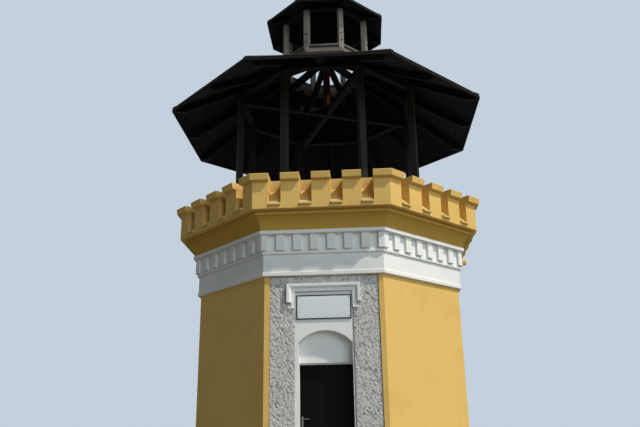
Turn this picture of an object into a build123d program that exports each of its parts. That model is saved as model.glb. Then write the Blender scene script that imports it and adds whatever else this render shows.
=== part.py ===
from build123d import *
from math import cos, sin, tan, radians, sqrt
import os

# Octagonal observation tower, millimetres, +Z up. The origin is on the tower's
# axis at ground level, and the face with the door looks along -Y.

# Plan of the octagon, as apothems (axis to flat) unless a name says otherwise
faces = 8
half_turn = 180 / faces
wall_apothem = 2500
wall_thickness = 450
joint = 0.4
seat = 0.3

# Levels of the shaft and the platform's hatch
slab_height = 150
band_bottom = 3650
platform_top = 4150
platform_thickness = 200
hatch_size = 900
hatch_from_axis = 1150

# Rendered panels and the doorway
strip_width = 88
panel_recess = 20
roughcast_coat = 25
surround_coat = 7
door_centre = 8
opening_width = 924
door_height = 2000
niche_depth = 240
spring_height = 2490
arch_rise = 214
surround_left = 518
surround_right = 484
hood_top = 3508
hood_size = 135
hood_projection = 62
hood_flat = 42
hood_cavetto = 35
hood_edge = 22
hood_curve = 50
hood_leg_bottom = 3186
hood_foot = 3080
hood_foot_height = 28
hood_foot_width = 105
hood_foot_out = 32
plate_width = 945
plate_height = 420
plate_bottom = 2890
plate_thickness = 22
plate_border = 18
plate_sink = 4
plate_offset = -16
head_strip_height = 20
head_strip_depth = 14

# Door, frame and hinges
frame_width = 14
frame_depth = 70
stop_width = 12
stop_depth = 15
leaf_thickness = 45
leaf_gap = 5
stile = 110
panel_sink = 9
threshold_height = 25
threshold_nose = 30
threshold_chamfer = 6
hinge_count = 3
hinge_inset = 230
knuckle_radius = 8
knuckle_length = 48
pin_radius = 4
pin_clearance = 0.06
knuckle_gap = 0.6
hinge_gap = 0.5
hinge_plate_width = 30
hinge_plate_thickness = 3
handle_height = 1265
handle_inset = 24
handle_plate_width = 30
handle_plate_length = 230
handle_plate_thickness = 5
handle_plate_over = 46
handle_reach = 48
handle_bar = 18
handle_length = 115

# White band with its dentils
band_moulding = 80
band_moulding_out = 40
frieze_out = 20
frieze_height = 305
fillet_height = 35
fillet_out = 58
dentil_zone = 315
dentil_height = 285
dentil_width = 146
dentil_out = 50
dentils_per_face = 6
corner_dentil = 106
cap_height = 61
cap_out = 171

# Cove, parapet and battlements
cove_height = 244
cove_out = 130
cove_setback = 25
cove_radius = 330
bead_height = 42
bead_out = 22
parapet_toe = 5
parapet_out = 123
parapet_rise = 37
parapet_height = 652
parapet_step = 60
parapet_thickness = 220
coping_height = 108
coping_out = 47
coping_lip = 10
coping_lip_height = 12
merlon_width = 336
merlons_per_face = 3
crenel_width = 209
sill_edge_height = 72
sill_nose = 24
sill_nose_height = 30
sill_back_height = 326

# Rain spout on the right-hand face
spout_over_floor = 65
spout_radius = 62
spout_bore = 48
spout_reach = 150
spout_stub = 45

# Open roof frame
post_size = 132
post_apothem = 1848
eave_apothem = 3217
eave_top = 7650
eave_depth = 80
roof_pitch = 31.2
covering_thickness = 30
boarding_thickness = 25
rafter_width = 95
hip_width = 110
rafter_depth = 160
fascia_thickness = 25
plate_beam_height = 140
tie_depth = 150
tie_width = 120
king_post = 150
king_post_drop = 60

# Lantern on the roof
curb_apothem = 950
curb_thickness = 95
curb_rise = 141
curb_ledge = 35
curb_ledge_height = 82
lantern_post = 115
lantern_post_apothem = 905
panel_board = 26
panel_board_height = 78
lantern_sill_out = 70
lantern_sill_in = 45
lantern_sill_height = 36
lantern_eave_apothem = 1330
lantern_eave_rise = 1058
lantern_eave_depth = 62
lantern_pitch = 32.5
lantern_covering = 26
lantern_boarding = 20
lantern_rafter_width = 80
lantern_rafter_depth = 110
lantern_beam = 100
apex_cap_apothem = 130
apex_cap_thickness = 12

# Sizes that follow from the ones above
inner_apothem = wall_apothem - wall_thickness
platform_bottom = platform_top - platform_thickness
panel_ground = wall_apothem - panel_recess - roughcast_coat
roughcast_face = wall_apothem - panel_recess
surround_face = panel_ground + surround_coat
door_head = slab_height + door_height
opening_left = door_centre - opening_width / 2
opening_right = door_centre + opening_width / 2
niche_back = surround_face - niche_depth
arch_crown = spring_height + arch_rise
hood_under = hood_top - hood_size
frieze_bottom = band_bottom + band_moulding
fillet_bottom = frieze_bottom + frieze_height
dentil_zone_bottom = fillet_bottom + fillet_height
cap_bottom = dentil_zone_bottom + dentil_zone
cap_top = cap_bottom + cap_height
cap_apothem = wall_apothem + cap_out
cove_top = cap_top + cove_height
cove_apothem = cap_apothem + cove_out
bead_top = cove_top + bead_height
bead_apothem = cove_apothem + bead_out
parapet_apothem = cove_apothem + parapet_out
parapet_bottom = bead_top + parapet_rise
parapet_top = parapet_bottom + parapet_height
parapet_back = wall_apothem + parapet_step
parapet_inner = parapet_back - parapet_thickness
coping_bottom = parapet_top - coping_height
spout_height = platform_top + spout_over_floor
roof_slope = tan(radians(roof_pitch))
lantern_slope = tan(radians(lantern_pitch))
curb_top = eave_top + (eave_apothem - curb_apothem) * roof_slope + curb_rise
lantern_eave_top = curb_top + lantern_eave_rise
corner = 1 / cos(radians(half_turn))
half_face = tan(radians(half_turn))

os.makedirs("parts", exist_ok=True)

# A section is drawn in this plane: its X is the distance from the axis towards
# the door face, its Y the height.
section_plane = Plane(origin=(0, 0, 0), x_dir=(0, -1, 0), z_dir=(-1, 0, 0))


def mitre_planes(gap):
    """The upright planes through the door face's two corners, set back by half a gap."""
    across = cos(radians(half_turn))
    along = sin(radians(half_turn))
    return [
        Plane(origin=(-side * gap / 2 * across, -gap / 2 * along, 0), z_dir=(side * across, along, 0))
        for side in (1, -1)
    ]


def mitred_length(section, reach, gap=joint):
    """One straight length of a ring, over the door face, cut to the mitre at both ends."""
    with BuildPart() as length:
        extrude(section, amount=reach * half_face + joint, both=True)
        for plane in mitre_planes(gap):
            split(bisect_by=plane, keep=Keep.BOTTOM)
    return length.part


def around(piece, count=faces, start=0):
    """The same piece repeated round the axis."""
    with BuildPart() as ring:
        with PolarLocations(0, count, start_angle=start):
            add(piece)
    return ring.part


def polygon_section(*points):
    """A closed straight-sided section, from points of (distance from the axis, height)."""
    with BuildSketch(section_plane) as section:
        with BuildLine():
            Polyline(*points, close=True)
        make_face()
    return section.sketch


def write(part, name):
    """Label a finished piece and write its own file."""
    part.label = name
    export_step(part, f"parts/{name}.step")


# Ground slab, flush with the walls that stand on it
with BuildPart() as ground_slab:
    with BuildSketch():
        RegularPolygon(wall_apothem, faces, major_radius=False, rotation=half_turn)
    extrude(amount=slab_height)
write(ground_slab.part, "ground_slab")


# Shaft walls, one length for each face
wall_section = polygon_section(
    (inner_apothem, slab_height),
    (wall_apothem, slab_height),
    (wall_apothem, platform_bottom),
    (inner_apothem, platform_bottom),
)
plain_wall = mitred_length(wall_section, wall_apothem)
panel_half = wall_apothem * half_face - strip_width
panel_height = band_bottom - slab_height

with BuildPart() as panelled_wall:
    add(plain_wall)
    with BuildSketch(Plane.XZ.offset(panel_ground)):
        with Locations((0, slab_height + panel_height / 2)):
            Rectangle(2 * panel_half, panel_height)
    extrude(amount=wall_thickness, mode=Mode.SUBTRACT)

plain_faces = {"front_right_wall": 45, "back_right_wall": 135, "back_left_wall": 225, "front_left_wall": 315}
for name, turn in plain_faces.items():
    with BuildPart() as wall:
        with PolarLocations(0, 1, start_angle=turn):
            add(plain_wall)
    write(wall.part, name)

panelled_faces = {"right_wall": 90, "back_wall": 180, "left_wall": 270}
for name, turn in panelled_faces.items():
    with BuildPart() as wall:
        with PolarLocations(0, 1, start_angle=turn):
            add(panelled_wall.part)
    write(wall.part, name)

# The door face is three pieces: one beside each jamb, and one over the doorway
with BuildPart() as wall_left_of_door:
    add(panelled_wall.part)
    split(bisect_by=Plane.YZ.offset(opening_left), keep=Keep.BOTTOM)
write(wall_left_of_door.part, "front_wall_left_of_door")

with BuildPart() as wall_right_of_door:
    add(panelled_wall.part)
    split(bisect_by=Plane.YZ.offset(opening_right), keep=Keep.TOP)
write(wall_right_of_door.part, "front_wall_right_of_door")


def arched_opening(plane):
    """The doorway's outline with its segmental head, from the door head up."""
    with BuildSketch(plane) as outline:
        with BuildLine():
            Polyline(
                (opening_left, spring_height),
                (opening_left, slab_height),
                (opening_right, slab_height),
                (opening_right, spring_height),
            )
            ThreePointArc(
                (opening_right, spring_height),
                (door_centre, arch_crown),
                (opening_left, spring_height),
            )
        make_face()
    return outline.sketch


with BuildPart() as wall_over_door:
    add(panelled_wall.part)
    split(bisect_by=Plane.YZ.offset(opening_left + joint), keep=Keep.TOP)
    split(bisect_by=Plane.YZ.offset(opening_right - joint), keep=Keep.BOTTOM)
    split(bisect_by=Plane.XY.offset(door_head), keep=Keep.TOP)
    extrude(arched_opening(Plane.XZ.offset(niche_back)), amount=wall_thickness, mode=Mode.SUBTRACT)
write(wall_over_door.part, "front_wall_over_door")


# Roughcast coats in the sunk panels, each with its foot on the ground slab
coat_width = 2 * panel_half - joint
coat_height = panel_height - joint
with BuildPart() as plain_coat:
    with BuildSketch(Plane.XZ.offset(panel_ground)):
        with Locations((0, slab_height + coat_height / 2)):
            Rectangle(coat_width, coat_height)
    extrude(amount=roughcast_coat)

surround_x0 = door_centre - surround_left
surround_x1 = door_centre + surround_right
with BuildPart() as roughcast_coats:
    with PolarLocations(0, 3, start_angle=90, angular_range=270):
        add(plain_coat.part)
    with BuildSketch(Plane.XZ.offset(panel_ground)):
        with Locations((0, slab_height + coat_height / 2)):
            Rectangle(coat_width, coat_height)
        with BuildLine():
            Polyline(
                (surround_x0, slab_height),
                (surround_x1, slab_height),
                (surround_x1, hood_under),
                (surround_x0, hood_under),
                close=True,
            )
        make_face(mode=Mode.SUBTRACT)
    extrude(amount=roughcast_coat)
write(roughcast_coats.part, "roughcast_coats")

# Smooth plaster round the doorway, sunk behind the roughcast
with BuildPart() as door_surround:
    with BuildSketch(Plane.XZ.offset(panel_ground)):
        with BuildLine():
            Polyline(
                (surround_x0 + joint, slab_height),
                (surround_x1 - joint, slab_height),
                (surround_x1 - joint, hood_under - joint),
                (surround_x0 + joint, hood_under - joint),
                close=True,
            )
        make_face()
        add(arched_opening(Plane.XY), mode=Mode.SUBTRACT)
    extrude(amount=surround_coat)
write(door_surround.part, "door_surround")

# Label moulding over the plate, on the roughcast: an outer fillet, a cavetto and a flat inner
# band. The legs' bands run on below the fillet, each down to a small foot.
hood_x0 = surround_x0 - hood_size
hood_x1 = surround_x1 + hood_size
hood_band = hood_size - hood_flat - hood_cavetto
with BuildPart() as hood_mould:
    with BuildLine(Plane.XZ.offset(roughcast_face)) as hood_path:
        Polyline(
            (hood_x0 + hood_size / 2, hood_leg_bottom),
            (hood_x0 + hood_size / 2, hood_top - hood_size / 2),
            (hood_x1 - hood_size / 2, hood_top - hood_size / 2),
            (hood_x1 - hood_size / 2, hood_leg_bottom),
        )
    with BuildSketch(Plane(origin=hood_path.line @ 0, x_dir=(1, 0, 0), z_dir=(0, 0, -1))) as hood_section:
        with BuildLine():
            outer_edge = -hood_size / 2
            cavetto_end = outer_edge + hood_flat + hood_cavetto
            Polyline(
                (cavetto_end, hood_edge),
                (-outer_edge, hood_edge),
                (-outer_edge, 0),
                (outer_edge, 0),
                (outer_edge, hood_projection),
                (outer_edge + hood_flat, hood_projection),
            )
            RadiusArc((outer_edge + hood_flat, hood_projection), (cavetto_end, hood_edge), hood_curve)
        make_face()
    sweep(path=hood_path.line, transition=Transition.RIGHT)
    for edge, side in ((surround_x0, -1), (surround_x1, 1)):
        with BuildSketch(Plane.XZ.offset(roughcast_face)):
            with Locations((edge + side * hood_band / 2, (hood_foot + hood_leg_bottom) / 2)):
                Rectangle(hood_band, hood_leg_bottom - hood_foot)
        extrude(amount=hood_edge)
        with BuildSketch(Plane.XZ.offset(roughcast_face)):
            with Locations((edge + side * hood_foot_width / 2, hood_foot + hood_foot_height / 2)):
                Rectangle(hood_foot_width, hood_foot_height)
        extrude(amount=hood_foot_out)
write(hood_mould.part, "hood_mould")

# Blank plate in a thin border, between the arch and the hood
plate_y = surround_face + seat
plate_x = door_centre + plate_offset
with BuildPart() as sign_plate:
    with BuildSketch(Plane.XZ.offset(plate_y)):
        with Locations((plate_x, plate_bottom + plate_height / 2)):
            Rectangle(plate_width, plate_height)
    extrude(amount=plate_thickness)
    with BuildSketch(Plane.XZ.offset(plate_y + plate_thickness)):
        with Locations((plate_x, plate_bottom + plate_height / 2)):
            Rectangle(plate_width - 2 * plate_border, plate_height - 2 * plate_border)
    extrude(amount=-plate_sink, mode=Mode.SUBTRACT)
write(sign_plate.part, "sign_plate")

# Thin drip strip at the head of the door, in front of the niche's back
with BuildPart() as head_strip:
    with BuildSketch(Plane.XZ.offset(niche_back + seat)):
        with Locations((door_centre, door_head + head_strip_height / 2)):
            Rectangle(opening_width - 2 * joint, head_strip_height)
    extrude(amount=head_strip_depth)
write(head_strip.part, "door_head_strip")


# Stone threshold, its nose just proud of the door's face
frame_front = niche_back
frame_back = frame_front - frame_depth
with BuildPart() as threshold:
    with BuildSketch(Plane.XY.offset(slab_height)):
        with Locations((door_centre, -(inner_apothem + frame_front + threshold_nose) / 2)):
            Rectangle(opening_width - 2 * joint, frame_front + threshold_nose - inner_apothem)
    extrude(amount=threshold_height)
    chamfer(threshold.faces().sort_by(Axis.Z)[-1].edges().sort_by(Axis.Y)[0], threshold_chamfer)
write(threshold.part, "threshold")

# Door frame: two jambs and a head with a stop that the leaf closes against
frame_x0 = opening_left + seat
frame_x1 = opening_right - seat
frame_z0 = slab_height + threshold_height
frame_z1 = door_head - seat


def frame_outline(inset):
    """The inner edge of the frame, open at the threshold, as a filled outline."""
    with BuildSketch() as outline:
        with BuildLine():
            Polyline(
                (frame_x0 + inset, frame_z0),
                (frame_x1 - inset, frame_z0),
                (frame_x1 - inset, frame_z1 - inset),
                (frame_x0 + inset, frame_z1 - inset),
                close=True,
            )
        make_face()
    return outline.sketch


with BuildPart() as door_frame:
    with BuildSketch(Plane.XZ.offset(frame_back)):
        add(frame_outline(0))
        add(frame_outline(frame_width), mode=Mode.SUBTRACT)
    extrude(amount=frame_depth)
    with BuildSketch(Plane.XZ.offset(frame_front - stop_depth)):
        add(frame_outline(0))
        add(frame_outline(frame_width + stop_width), mode=Mode.SUBTRACT)
    extrude(amount=stop_depth)
write(door_frame.part, "door_frame")

# Door leaf, framed and sunk-panelled on both sides
leaf_x0 = frame_x0 + frame_width + leaf_gap
leaf_x1 = frame_x1 - frame_width - leaf_gap
leaf_z0 = frame_z0 + leaf_gap
leaf_z1 = frame_z1 - frame_width - leaf_gap
leaf_front = frame_front - stop_depth - leaf_gap
leaf_back = leaf_front - leaf_thickness
leaf_height = leaf_z1 - leaf_z0
panel_width = leaf_x1 - leaf_x0 - 2 * stile
leaf_panel_height = (leaf_height - 3 * stile) / 2
with BuildPart() as door_leaf:
    with BuildSketch(Plane.XZ.offset(leaf_back)):
        with Locations(((leaf_x0 + leaf_x1) / 2, (leaf_z0 + leaf_z1) / 2)):
            Rectangle(leaf_x1 - leaf_x0, leaf_height)
    extrude(amount=leaf_thickness)
    for face_plane, inward in ((leaf_front, -panel_sink), (leaf_back, panel_sink)):
        with BuildSketch(Plane.XZ.offset(face_plane)):
            with GridLocations(0, leaf_panel_height + stile, 1, 2):
                with Locations(((leaf_x0 + leaf_x1) / 2, (leaf_z0 + leaf_z1) / 2)):
                    Rectangle(panel_width, leaf_panel_height)
        extrude(amount=inward, mode=Mode.SUBTRACT)
write(door_leaf.part, "door_leaf")

# Lift-off hinges: the pin stands on the frame's knuckle, the leaf's knuckle drops over it
hinge_x = (leaf_x1 + frame_x1 - frame_width) / 2
hinge_depth = frame_back - knuckle_radius - hinge_gap
frame_plate_width = frame_x1 - hinge_x - seat
hinge_heights = [
    leaf_z0 + hinge_inset + i * (leaf_height - 2 * hinge_inset) / (hinge_count - 1)
    for i in range(hinge_count)
]
with BuildPart() as frame_hinges:
    for level in hinge_heights:
        with BuildSketch(Plane.XY.offset(level - knuckle_length)):
            with Locations((hinge_x, -hinge_depth)):
                Circle(knuckle_radius)
            with Locations((hinge_x + frame_plate_width / 2, -frame_back + seat + hinge_plate_thickness / 2)):
                Rectangle(frame_plate_width, hinge_plate_thickness)
        extrude(amount=knuckle_length)
        with BuildSketch(Plane.XY.offset(level)):
            with Locations((hinge_x, -hinge_depth)):
                Circle(pin_radius)
        extrude(amount=knuckle_length)
write(frame_hinges.part, "frame_hinges")

with BuildPart() as leaf_hinges:
    for level in hinge_heights:
        with BuildSketch(Plane.XY.offset(level + knuckle_gap)):
            with Locations((hinge_x, -hinge_depth)):
                Circle(knuckle_radius)
            with BuildLine():
                Polyline(
                    (hinge_x, -hinge_depth),
                    (hinge_x - knuckle_radius, -hinge_depth),
                    (hinge_x - knuckle_radius, -leaf_back + seat + hinge_plate_thickness),
                    (hinge_x - hinge_plate_width, -leaf_back + seat + hinge_plate_thickness),
                    (hinge_x - hinge_plate_width, -leaf_back + seat),
                    (leaf_x1, -leaf_back + seat),
                    (leaf_x1, -hinge_depth - knuckle_radius / 2),
                    close=True,
                )
            make_face()
            with Locations((hinge_x, -hinge_depth)):
                Circle(pin_radius + pin_clearance, mode=Mode.SUBTRACT)
        extrude(amount=knuckle_length)
write(leaf_hinges.part, "leaf_hinges")

# Lever handles on long plates, one on each side of the leaf
handle_x = leaf_x0 + handle_inset
handle_plate_centre = handle_height + handle_plate_over - handle_plate_length / 2
with BuildPart() as handles:
    for side, plate_face in ((1, leaf_front + seat), (-1, leaf_back - seat)):
        with BuildSketch(Plane.XZ.offset(plate_face)):
            with Locations((handle_x, handle_plate_centre)):
                SlotOverall(handle_plate_length, handle_plate_width, rotation=90)
        extrude(amount=side * handle_plate_thickness)
        bar_depth = plate_face + side * handle_reach
        with BuildLine(Plane.XY.offset(handle_height)) as lever_path:
            FilletPolyline(
                (handle_x, -(plate_face + side * handle_plate_thickness / 2)),
                (handle_x, -bar_depth),
                (handle_x + handle_length, -bar_depth),
                radius=handle_bar,
            )
        with BuildSketch(Plane(origin=lever_path.line @ 0, z_dir=(0, -side, 0))):
            Circle(handle_bar / 2)
        sweep(path=lever_path.line)
write(handles.part, "door_handles")


# Platform floor on the walls, with a hatch for the way up
with BuildPart() as platform:
    with BuildSketch(Plane.XY.offset(platform_bottom)):
        RegularPolygon(wall_apothem, faces, major_radius=False, rotation=half_turn)
        with Locations((0, hatch_from_axis)):
            Rectangle(hatch_size, hatch_size, mode=Mode.SUBTRACT)
    extrude(amount=platform_thickness)
write(platform.part, "platform_floor")

# White band: torus moulding, frieze, fillet and the ground of the dentils
moulding_edge = wall_apothem + band_moulding_out
frieze_face = wall_apothem + frieze_out
fillet_face = wall_apothem + fillet_out
with BuildSketch(section_plane) as band_section:
    with BuildLine():
        Polyline(
            (moulding_edge, band_bottom + band_moulding / 2),
            (moulding_edge, band_bottom),
            (wall_apothem + seat, band_bottom),
            (wall_apothem + seat, cap_bottom),
            (fillet_face, cap_bottom),
            (fillet_face, fillet_bottom),
            (frieze_face, fillet_bottom),
            (frieze_face, frieze_bottom),
        )
        RadiusArc(
            (frieze_face, frieze_bottom),
            (moulding_edge, band_bottom + band_moulding / 2),
            band_moulding / 2,
        )
    make_face()
band_course = around(mitred_length(band_section.sketch, moulding_edge + cap_out))
write(band_course, "band_course")

# Dentils: six on each face and one folded round each corner
dentil_face = fillet_face + dentil_out
dentil_top = cap_bottom - seat
dentil_pitch = (2 * (dentil_face * half_face - corner_dentil) + dentil_width) / (dentils_per_face + 1)
with BuildPart() as face_dentils:
    with BuildSketch(Plane.XZ.offset(fillet_face + seat)):
        with Locations((0, dentil_top - dentil_height / 2)):
            with GridLocations(dentil_pitch, 0, dentils_per_face, 1):
                Rectangle(dentil_width, dentil_height)
    extrude(amount=dentil_out)


def corner_outline(outer, inner, length, level):
    """Plan of a block folded round one corner, with its own length along each of the two faces."""
    turn = radians(2 * half_turn)
    corner_x = outer * half_face
    far_x = corner_x + length * cos(turn)
    far_y = -outer + length * sin(turn)
    depth = outer - inner
    with BuildSketch(Plane.XY.offset(level)) as outline:
        with BuildLine():
            Polyline(
                (corner_x - length, -outer),
                (corner_x, -outer),
                (far_x, far_y),
                (far_x - depth * sin(turn), far_y + depth * cos(turn)),
                (inner * half_face, -inner),
                (corner_x - length, -inner),
                close=True,
            )
        make_face()
    return outline.sketch


with BuildPart() as corner_dentils:
    extrude(
        corner_outline(dentil_face + seat, fillet_face + seat, corner_dentil, dentil_top - dentil_height),
        amount=dentil_height,
    )
with BuildPart() as dentils:
    with PolarLocations(0, faces):
        add(face_dentils.part)
        add(corner_dentils.part)
write(dentils.part, "dentils")

# White cap over the dentils
cap_section = polygon_section(
    (wall_apothem + seat, cap_bottom),
    (cap_apothem, cap_bottom),
    (cap_apothem, cap_top),
    (wall_apothem + seat, cap_top),
)
write(around(mitred_length(cap_section, cap_apothem)), "cap_course")

# Yellow cove that carries the battlements out, with a bead under the parapet's face
with BuildSketch(section_plane) as cove_section:
    with BuildLine():
        cove_start = (cap_apothem - cove_setback, cap_top)
        RadiusArc(cove_start, (cove_apothem, cove_top), cove_radius)
        Polyline(
            (cove_apothem, cove_top),
            (bead_apothem, cove_top),
            (bead_apothem, bead_top),
            (cove_apothem + parapet_toe, bead_top),
            (cove_apothem + parapet_toe, parapet_bottom),
            (parapet_back + seat, parapet_bottom),
            (parapet_back + seat, cap_top),
            cove_start,
        )
    make_face()
write(around(mitred_length(cove_section.sketch, parapet_apothem)), "cove_course")

# Parapet wall behind the battlements
parapet_section = polygon_section(
    (parapet_inner, platform_top),
    (wall_apothem, platform_top),
    (wall_apothem, cap_top),
    (parapet_back, cap_top),
    (parapet_back, parapet_top),
    (parapet_inner, parapet_top),
)
write(around(mitred_length(parapet_section, parapet_back)), "parapet_wall")

# Battlements: three merlons a face and one folded round each corner, each with a
# coping, and between them blind gaps with a sloping sill
merlon_back = parapet_back + seat
merlon_height = coping_bottom - parapet_bottom
merlon_depth = parapet_apothem - merlon_back
merlon_pitch = merlon_width + crenel_width
face_length = 2 * parapet_apothem * half_face
corner_merlon = (face_length - merlons_per_face * merlon_width - (merlons_per_face + 1) * crenel_width) / 2

with BuildPart() as face_merlons:
    with BuildSketch(Plane.XZ.offset(merlon_back)):
        with Locations((0, parapet_bottom + merlon_height / 2)):
            with GridLocations(merlon_pitch, 0, merlons_per_face, 1):
                Rectangle(merlon_width, merlon_height)
    extrude(amount=merlon_depth)
write(around(face_merlons.part), "merlons")

with BuildPart() as corner_merlon_block:
    extrude(corner_outline(parapet_apothem, merlon_back, corner_merlon, parapet_bottom), amount=merlon_height)
write(around(corner_merlon_block.part), "corner_merlons")

# Copings, with a sloping top and an overhang at the front only
coping_apothem = parapet_apothem + coping_out
coping_section = polygon_section(
    (merlon_back, coping_bottom + seat),
    (coping_apothem - coping_lip, coping_bottom + seat),
    (coping_apothem + coping_lip, parapet_top - coping_lip_height),
    (coping_apothem, parapet_top),
    (merlon_back, parapet_top),
)
with BuildPart() as face_copings:
    extrude(coping_section, amount=parapet_apothem * half_face, both=True)
    with BuildSketch(Plane.XY.offset(coping_bottom), mode=Mode.PRIVATE) as coping_plan:
        with Locations((0, -(merlon_back + coping_apothem) / 2)):
            with GridLocations(merlon_pitch, 0, merlons_per_face, 1):
                Rectangle(merlon_width, 2 * merlon_depth)
    extrude(coping_plan.sketch, amount=coping_height, mode=Mode.INTERSECT)

with BuildPart() as corner_copings:
    add(mitred_length(coping_section, coping_apothem + coping_lip, 0))
    split(bisect_by=Plane.YZ.offset(parapet_apothem * half_face - corner_merlon), keep=Keep.TOP)
    mirror(about=mitre_planes(0)[0])
with BuildPart() as copings:
    with PolarLocations(0, faces):
        add(face_copings.part)
        add(corner_copings.part)
write(copings.part, "copings")

# Sloping sills of the blind gaps, each with a small nose at the front edge
sill_edge = parapet_bottom + sill_edge_height
sill_section = polygon_section(
    (merlon_back, parapet_bottom),
    (parapet_apothem, parapet_bottom),
    (parapet_apothem, sill_edge - sill_nose_height),
    (parapet_apothem + sill_nose, sill_edge - sill_nose_height),
    (parapet_apothem + sill_nose, sill_edge),
    (merlon_back, parapet_bottom + sill_back_height),
)
sill_width = crenel_width - joint
with BuildPart() as face_sills:
    extrude(sill_section, amount=sill_width / 2, both=True)
sill_row = [(i - merlons_per_face / 2) * merlon_pitch for i in range(merlons_per_face + 1)]
with BuildPart() as sills_of_a_face:
    with Locations(*[(x, 0) for x in sill_row]):
        add(face_sills.part)
write(around(sills_of_a_face.part), "crenel_sills")

# Rain spout through the band on the right-hand face, between the last two dentils
last_dentil = (dentils_per_face - 1) / 2 * dentil_pitch + dentil_width / 2
spout_along = (last_dentil + dentil_face * half_face - corner_dentil) / 2
with BuildPart() as rain_spout:
    with BuildSketch(Plane.YZ.offset(fillet_face + seat)):
        with Locations((-spout_along, spout_height)):
            Circle(spout_radius)
    extrude(amount=spout_reach)
    with BuildSketch(Plane.YZ.offset(fillet_face + spout_stub)):
        with Locations((-spout_along, spout_height)):
            Circle(spout_bore)
    extrude(amount=spout_reach, mode=Mode.SUBTRACT)
write(rain_spout.part, "rain_spout")


# Heights of the roof's layers at a distance from the axis, measured along a flat
def rafter_top(apothem):
    """Top of the rafters, which is the underside of the boarding."""
    return eave_top + (eave_apothem - apothem) * roof_slope - covering_thickness - boarding_thickness


def lantern_rafter_top(apothem):
    """Top of the lantern's rafters."""
    rise = (lantern_eave_apothem - apothem) * lantern_slope
    return lantern_eave_top + rise - lantern_covering - lantern_boarding


# Eight posts on the corners of an inner octagon
post_beam_top = rafter_top(post_apothem) - rafter_depth
post_top = post_beam_top - plate_beam_height
post_corner = post_apothem * corner
with BuildPart() as main_posts:
    with BuildSketch(Plane.XY.offset(platform_top)):
        with PolarLocations(post_corner, faces, start_angle=half_turn):
            Rectangle(post_size, post_size)
    extrude(amount=post_top - platform_top - seat)
write(main_posts.part, "main_posts")

# Plate beams over the posts
post_beam_section = polygon_section(
    (post_apothem - post_size / 2, post_top),
    (post_apothem + post_size / 2, post_top),
    (post_apothem + post_size / 2, post_beam_top),
    (post_apothem - post_size / 2, post_beam_top),
)
write(around(mitred_length(post_beam_section, post_apothem + post_size)), "post_beams")

# Two tie beams from post to post, halved over each other on the axis
tie_reach = post_corner - post_size / 2 - seat
tie_top = post_top - seat


def tie_beam(turn, notch_low, notch_high):
    """A beam through the axis, with a notch where the other one crosses."""
    with BuildPart() as beam:
        with BuildSketch(Plane.XY.offset(tie_top - tie_depth)):
            Rectangle(2 * tie_reach, tie_width, rotation=turn)
        extrude(amount=tie_depth)
        with BuildSketch(Plane.XY.offset(notch_low)):
            Rectangle(tie_width + 2 * joint, 2 * tie_width, rotation=turn)
        extrude(amount=notch_high - notch_low, mode=Mode.SUBTRACT)
    return beam.part


tie_middle = tie_top - tie_depth / 2
with BuildPart() as tie_beams:
    add(tie_beam(half_turn, tie_middle - joint / 2, tie_top))
    add(tie_beam(half_turn + 90, tie_top - tie_depth, tie_middle + joint / 2))
write(tie_beams.part, "tie_beams")

# King post on the crossing, up to the meeting of the rafters
king_top = rafter_top(0) - king_post_drop
with BuildPart() as king_post_piece:
    with BuildSketch(Plane.XY.offset(tie_top + seat)):
        RegularPolygon(king_post / 2, faces, major_radius=False)
    extrude(amount=king_top - tie_top - seat)
write(king_post_piece.part, "king_post")


def rafter(inner, outer, slope, top_drop, width):
    """A rafter towards the door face, cut level at its foot and notched over the plate beam."""
    scale = slope / roof_slope
    level_cut = eave_top - eave_depth + seat

    def top(distance):
        return rafter_top(distance * scale) - top_drop

    def under(distance):
        return top(distance) - rafter_depth

    beam_in = (post_apothem - post_size / 2 - seat) / scale
    beam_out = (post_apothem + post_size / 2 + seat) / scale
    notch = post_beam_top + seat
    foot = outer - (level_cut - under(outer)) / slope
    notch_in = beam_out - (notch - under(beam_out)) / slope
    with BuildPart() as piece:
        with BuildSketch(section_plane):
            with BuildLine():
                Polyline(
                    (inner, under(inner)),
                    (max(notch_in, beam_in), notch),
                    (beam_out, notch),
                    (beam_out, under(beam_out)),
                    (foot, level_cut),
                    (outer, level_cut),
                    (outer, top(outer)),
                    (inner, top(inner)),
                    close=True,
                )
            make_face()
        extrude(amount=width / 2, both=True)
    return piece.part


# Hip rafters to the corners, pointed where they meet round the king post
hip_slope = roof_slope / corner
hip_drop = hip_width / 2 * sin(radians(half_turn)) * roof_slope + seat
fascia_back = eave_apothem - fascia_thickness
hip_inner = king_post / 2 + seat
hip_outer = (fascia_back - seat) * corner - hip_width / 2 * half_face
with BuildPart() as one_hip:
    add(rafter(hip_inner, hip_outer, hip_slope, hip_drop, hip_width))
    for plane in mitre_planes(joint):
        split(bisect_by=plane, keep=Keep.BOTTOM)
write(around(one_hip.part, start=half_turn), "hip_rafters")

# Common rafters to the middle of each face, up to the inner face of the lantern's curb
curb_inner = curb_apothem - curb_thickness
common = rafter(curb_inner, fascia_back - seat, roof_slope, seat, rafter_width)
write(around(common), "common_rafters")

# Boarding, covering and fascia, one length for each slope, open at the lantern
curb_face = curb_apothem + seat


def slope_layer(low_edge, bottom_drop, top_drop):
    """One slope of a roof layer between two depths under the finished surface."""
    def level(apothem, drop):
        return eave_top + (eave_apothem - apothem) * roof_slope - drop

    return polygon_section(
        (low_edge, level(low_edge, bottom_drop)),
        (low_edge, level(low_edge, top_drop)),
        (curb_face, level(curb_face, top_drop)),
        (curb_face, level(curb_face, bottom_drop)),
    )


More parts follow.
